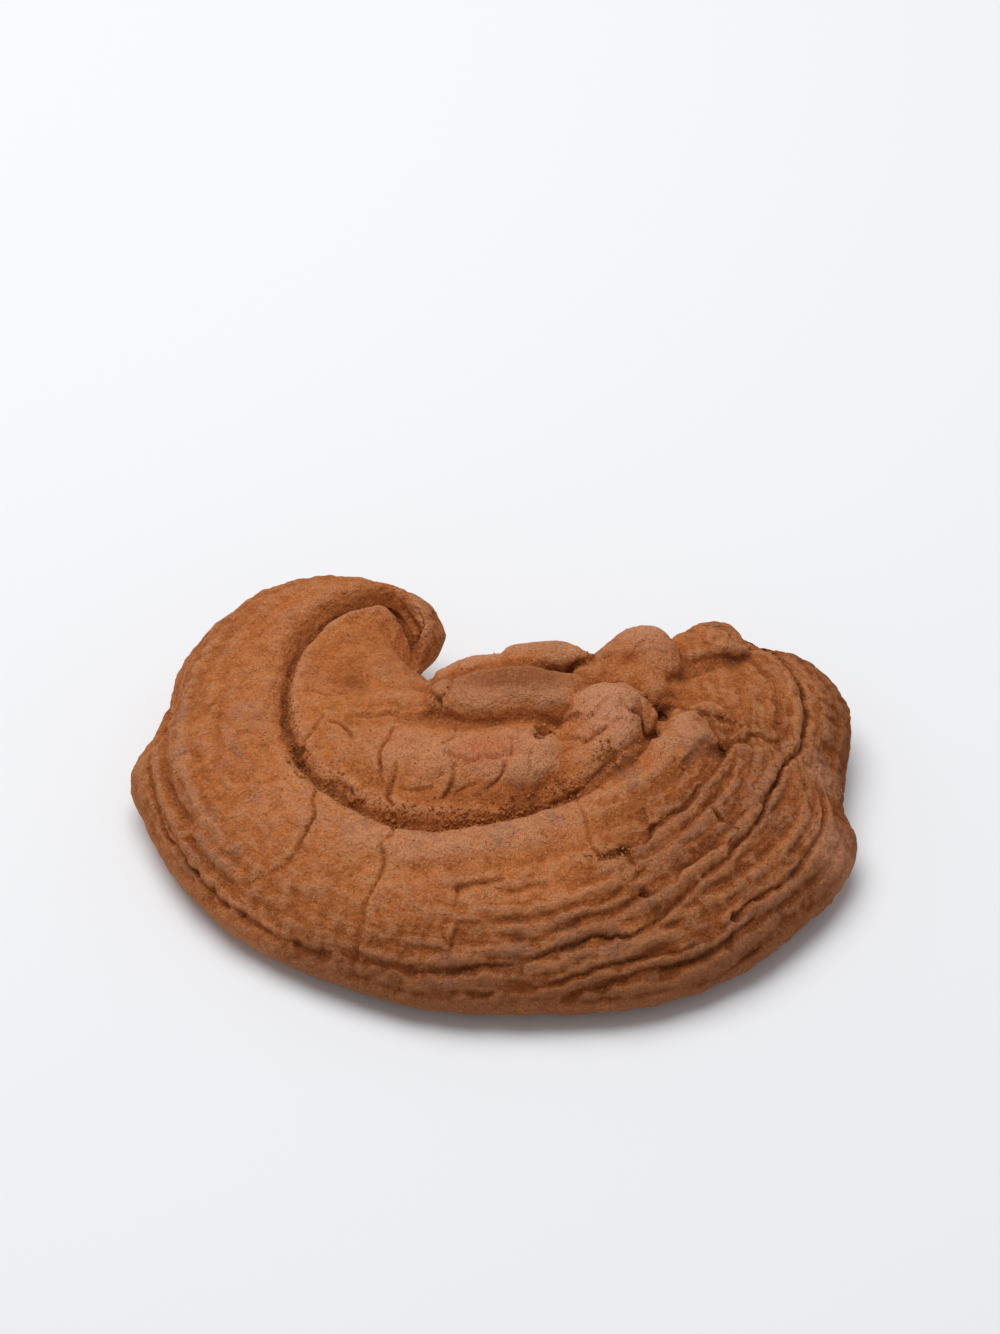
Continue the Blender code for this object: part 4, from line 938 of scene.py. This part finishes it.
# The pores below are drawn about four times as coarse as real ones, so that they show.
cells = add_node(tree, "ShaderNodeTexVoronoi", {"Vector": place,
                                                "Scale": PER_METRE / 0.8}).outputs["Distance"]
holes = add_node(tree, "ShaderNodeMapRange", {0: cells, 1: 0.25, 2: 0.45, 3: 1.0, 4: 0.0}).outputs[0]
pores = add_node(tree, "ShaderNodeMix", {MIX_FACTOR: holes, MIX_A: linear("#c99a6c"),
                                         MIX_B: linear("#8a5c38")}, data_type="RGBA").outputs[MIX_RESULT]
skin_colour = add_node(tree, "ShaderNodeMix", {MIX_FACTOR: mark["pores"], MIX_A: powder, MIX_B: pores},
                       data_type="RGBA").outputs[MIX_RESULT]
tree.links.new(skin_colour, shader.inputs["Base Color"])
shader.inputs["Roughness"].default_value = 0.95
shader.inputs["Specular IOR Level"].default_value = 0.1
shader.inputs["Sheen Weight"].default_value = 0.06
shader.inputs["Sheen Roughness"].default_value = 0.4
shader.inputs["Sheen Tint"].default_value = linear("#e8c0a0")
rough = add_node(tree, "ShaderNodeBump", {"Height": mottle, "Strength": 1.0, "Distance": 0.0024}).outputs[0]
rough = add_node(tree, "ShaderNodeBump", {"Height": fibres, "Strength": 0.6, "Distance": 0.0009,
                                          "Normal": rough}).outputs[0]
rough = add_node(tree, "ShaderNodeBump", {"Height": grain, "Strength": 0.9, "Distance": 0.0008,
                                          "Normal": rough}).outputs[0]
tree.links.new(rough, shader.inputs["Normal"])
grown_body.data.materials.append(crust)

# Dry flesh cut across: dull and tan, with darker fibres that lie flat.
cork, tree, shader, place = new_material("cut_cork")
stretched = add_node(tree, "ShaderNodeMapping", {"Vector": place, "Scale": (1.0, 1.0, 4.0)}).outputs[0]
fibres = add_node(tree, "ShaderNodeTexNoise", {"Vector": stretched, "Scale": PER_METRE / 3,
                                               "Detail": 5.0}).outputs["Fac"]
flesh = add_node(tree, "ShaderNodeMix", {MIX_FACTOR: fibres, MIX_A: linear("#7a4a2a"),
                                         MIX_B: linear("#b98a5e")}, data_type="RGBA").outputs[MIX_RESULT]
tree.links.new(flesh, shader.inputs["Base Color"])
shader.inputs["Roughness"].default_value = 0.9
torn = add_node(tree, "ShaderNodeBump", {"Height": fibres, "Strength": 0.6, "Distance": 0.0006}).outputs[0]
tree.links.new(torn, shader.inputs["Normal"])
grown_body.data.materials.append(cork)


# ---- Loose crumbs --------------------------------------------------------------------------
# Broken bits of crust and clotted powder that have gathered in the groove and the pits, and a thin
# dust of them everywhere else. Each is a small uneven lump that lies a little sunk into the skin.
ABOVE_ALL = 0.2   # metres, from where a crumb is dropped
STEEPEST = 0.2    # the least upward part of the skin's normal on which one stays
LIFT = 0.35       # how far a crumb's middle lies above the skin, as a share of its radius
CORNERS = 12      # of the simplest icosphere
CRUMB_ZONES = (   # x, y, spread along x and y, count, mean radius in millimetres
    (-50.5, 14, 1.0, 5, 60, 0.26), (-47.5, 3, 1.5, 3.5, 60, 0.26), (-42, -3, 2.0, 1.6, 70, 0.30),
    (-35, -8, 3, 1.4, 70, 0.30), (-25, -13, 4, 1.4, 90, 0.30), (-12, -14.8, 5, 1.4, 150, 0.34),
    (-2, -13.8, 4, 1.2, 110, 0.32), (8, -11, 4, 1.2, 110, 0.32), (19, -6.5, 4, 1.3, 90, 0.34),
    (29, 0.5, 2.5, 1.2, 80, 0.34), (36, 7.5, 1.8, 1.6, 14, 0.26), (12.6, 9, 1.6, 1.6, 30, 0.30),
    (42, 18.5, 1.2, 1.2, 24, 0.26), (31.5, -25, 2.2, 1.2, 40, 0.30), (26, -27.5, 2, 1, 30, 0.28),
    (-14, 18.5, 1.4, 1.4, 24, 0.28), (-52, 30, 0.8, 6, 50, 0.22), (-66, -27, 4, 2, 40, 0.24),
    (0, 0, 50, 32, 900, 0.16),
)
bm = bmesh.new()
chance = np.random.default_rng(11)
for x, y, spread_x, spread_y, count, mean_radius in CRUMB_ZONES:
    for _ in range(count):
        spot = np.array([x + spread_x * chance.normal(), y + spread_y * chance.normal()]) + FRAME_SHIFT
        landed, slope, _, _ = body_tree.ray_cast(Vector((*(spot * MM), ABOVE_ALL)), Vector((0, 0, -1)))
        radius = mean_radius * MM * min(chance.lognormal(0.0, 0.35), 2.2)
        turned = Euler(chance.uniform(0, math.tau, 3)).to_matrix().transposed()
        uneven = chance.uniform(0.7, 1.3, (CORNERS, 1)) * chance.uniform(0.6, 1.1, 3)
        if landed is None or slope.z < STEEPEST:
            continue
        lump = bmesh.ops.create_icosphere(bm, subdivisions=1, radius=radius)["verts"]
        for vert, stretch in zip(lump, uneven):
            vert.co = turned @ (vert.co * Vector(stretch)) + landed + slope * radius * LIFT
kept_in_box(bm)
spore_crumbs = placed("spore_crumbs", bm)
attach(spore_crumbs, "root")

# Clotted spore powder: the same dull brown as the coat, a little darker and in clots.
crumb_finish, tree, shader, place = new_material("clotted_spore_powder")
clots = add_node(tree, "ShaderNodeTexNoise", {"Vector": place, "Scale": PER_METRE / 1.4,
                                              "Detail": 3.0}).outputs["Fac"]
shade = add_node(tree, "ShaderNodeMapRange", {0: clots, 1: 0.35, 2: 0.65}).outputs[0]
clotted = add_node(tree, "ShaderNodeMix", {MIX_FACTOR: shade, MIX_A: linear("#935428"),
                                           MIX_B: linear("#b8733f")}, data_type="RGBA").outputs[MIX_RESULT]
tree.links.new(clotted, shader.inputs["Base Color"])
shader.inputs["Roughness"].default_value = 0.95
shader.inputs["Specular IOR Level"].default_value = 0.15
spore_crumbs.data.materials.append(crumb_finish)


# ---- Studio --------------------------------------------------------------------------------
# A near-white paper floor, a broad soft light overhead and a little light from all round. The camera
# looks down at the body at about 46 degrees.
bm = bmesh.new()
bmesh.ops.create_grid(bm, x_segments=1, y_segments=1, size=3.0)
studio_floor = placed("studio_floor", bm)
paper, tree, shader, place = new_material("white_paper")
shader.inputs["Base Color"].default_value = linear("#f3f4f6")
shader.inputs["Roughness"].default_value = 0.9
studio_floor.data.materials.append(paper)

softbox = bpy.data.lights.new("softbox", "AREA")
softbox.shape = "DISK"
softbox.size = 1.4
softbox.energy = 19.0
softbox_place = bpy.data.objects.new("softbox", softbox)
softbox_place.location = (-0.25, 0.40, 1.45)
softbox_place.rotation_euler = (-softbox_place.location).to_track_quat("-Z", "Y").to_euler()
bpy.context.scene.collection.objects.link(softbox_place)

surroundings = bpy.data.worlds.new("surroundings")
surroundings.use_nodes = True
surroundings.node_tree.nodes["Background"].inputs["Color"].default_value = linear("#f6f8fb")
surroundings.node_tree.nodes["Background"].inputs["Strength"].default_value = 0.36
bpy.context.scene.world = surroundings

lens = bpy.data.cameras.new("camera")
lens.lens = 108.0
lens.sensor_width = 36.0
camera = bpy.data.objects.new("camera", lens)
camera.location = (0.00181, -0.67999, 0.76157)
camera.rotation_euler = (math.radians(44.0), 0.0, 0.0)
bpy.context.scene.collection.objects.link(camera)
bpy.context.scene.camera = camera
bpy.context.scene.view_settings.view_transform = "Standard"
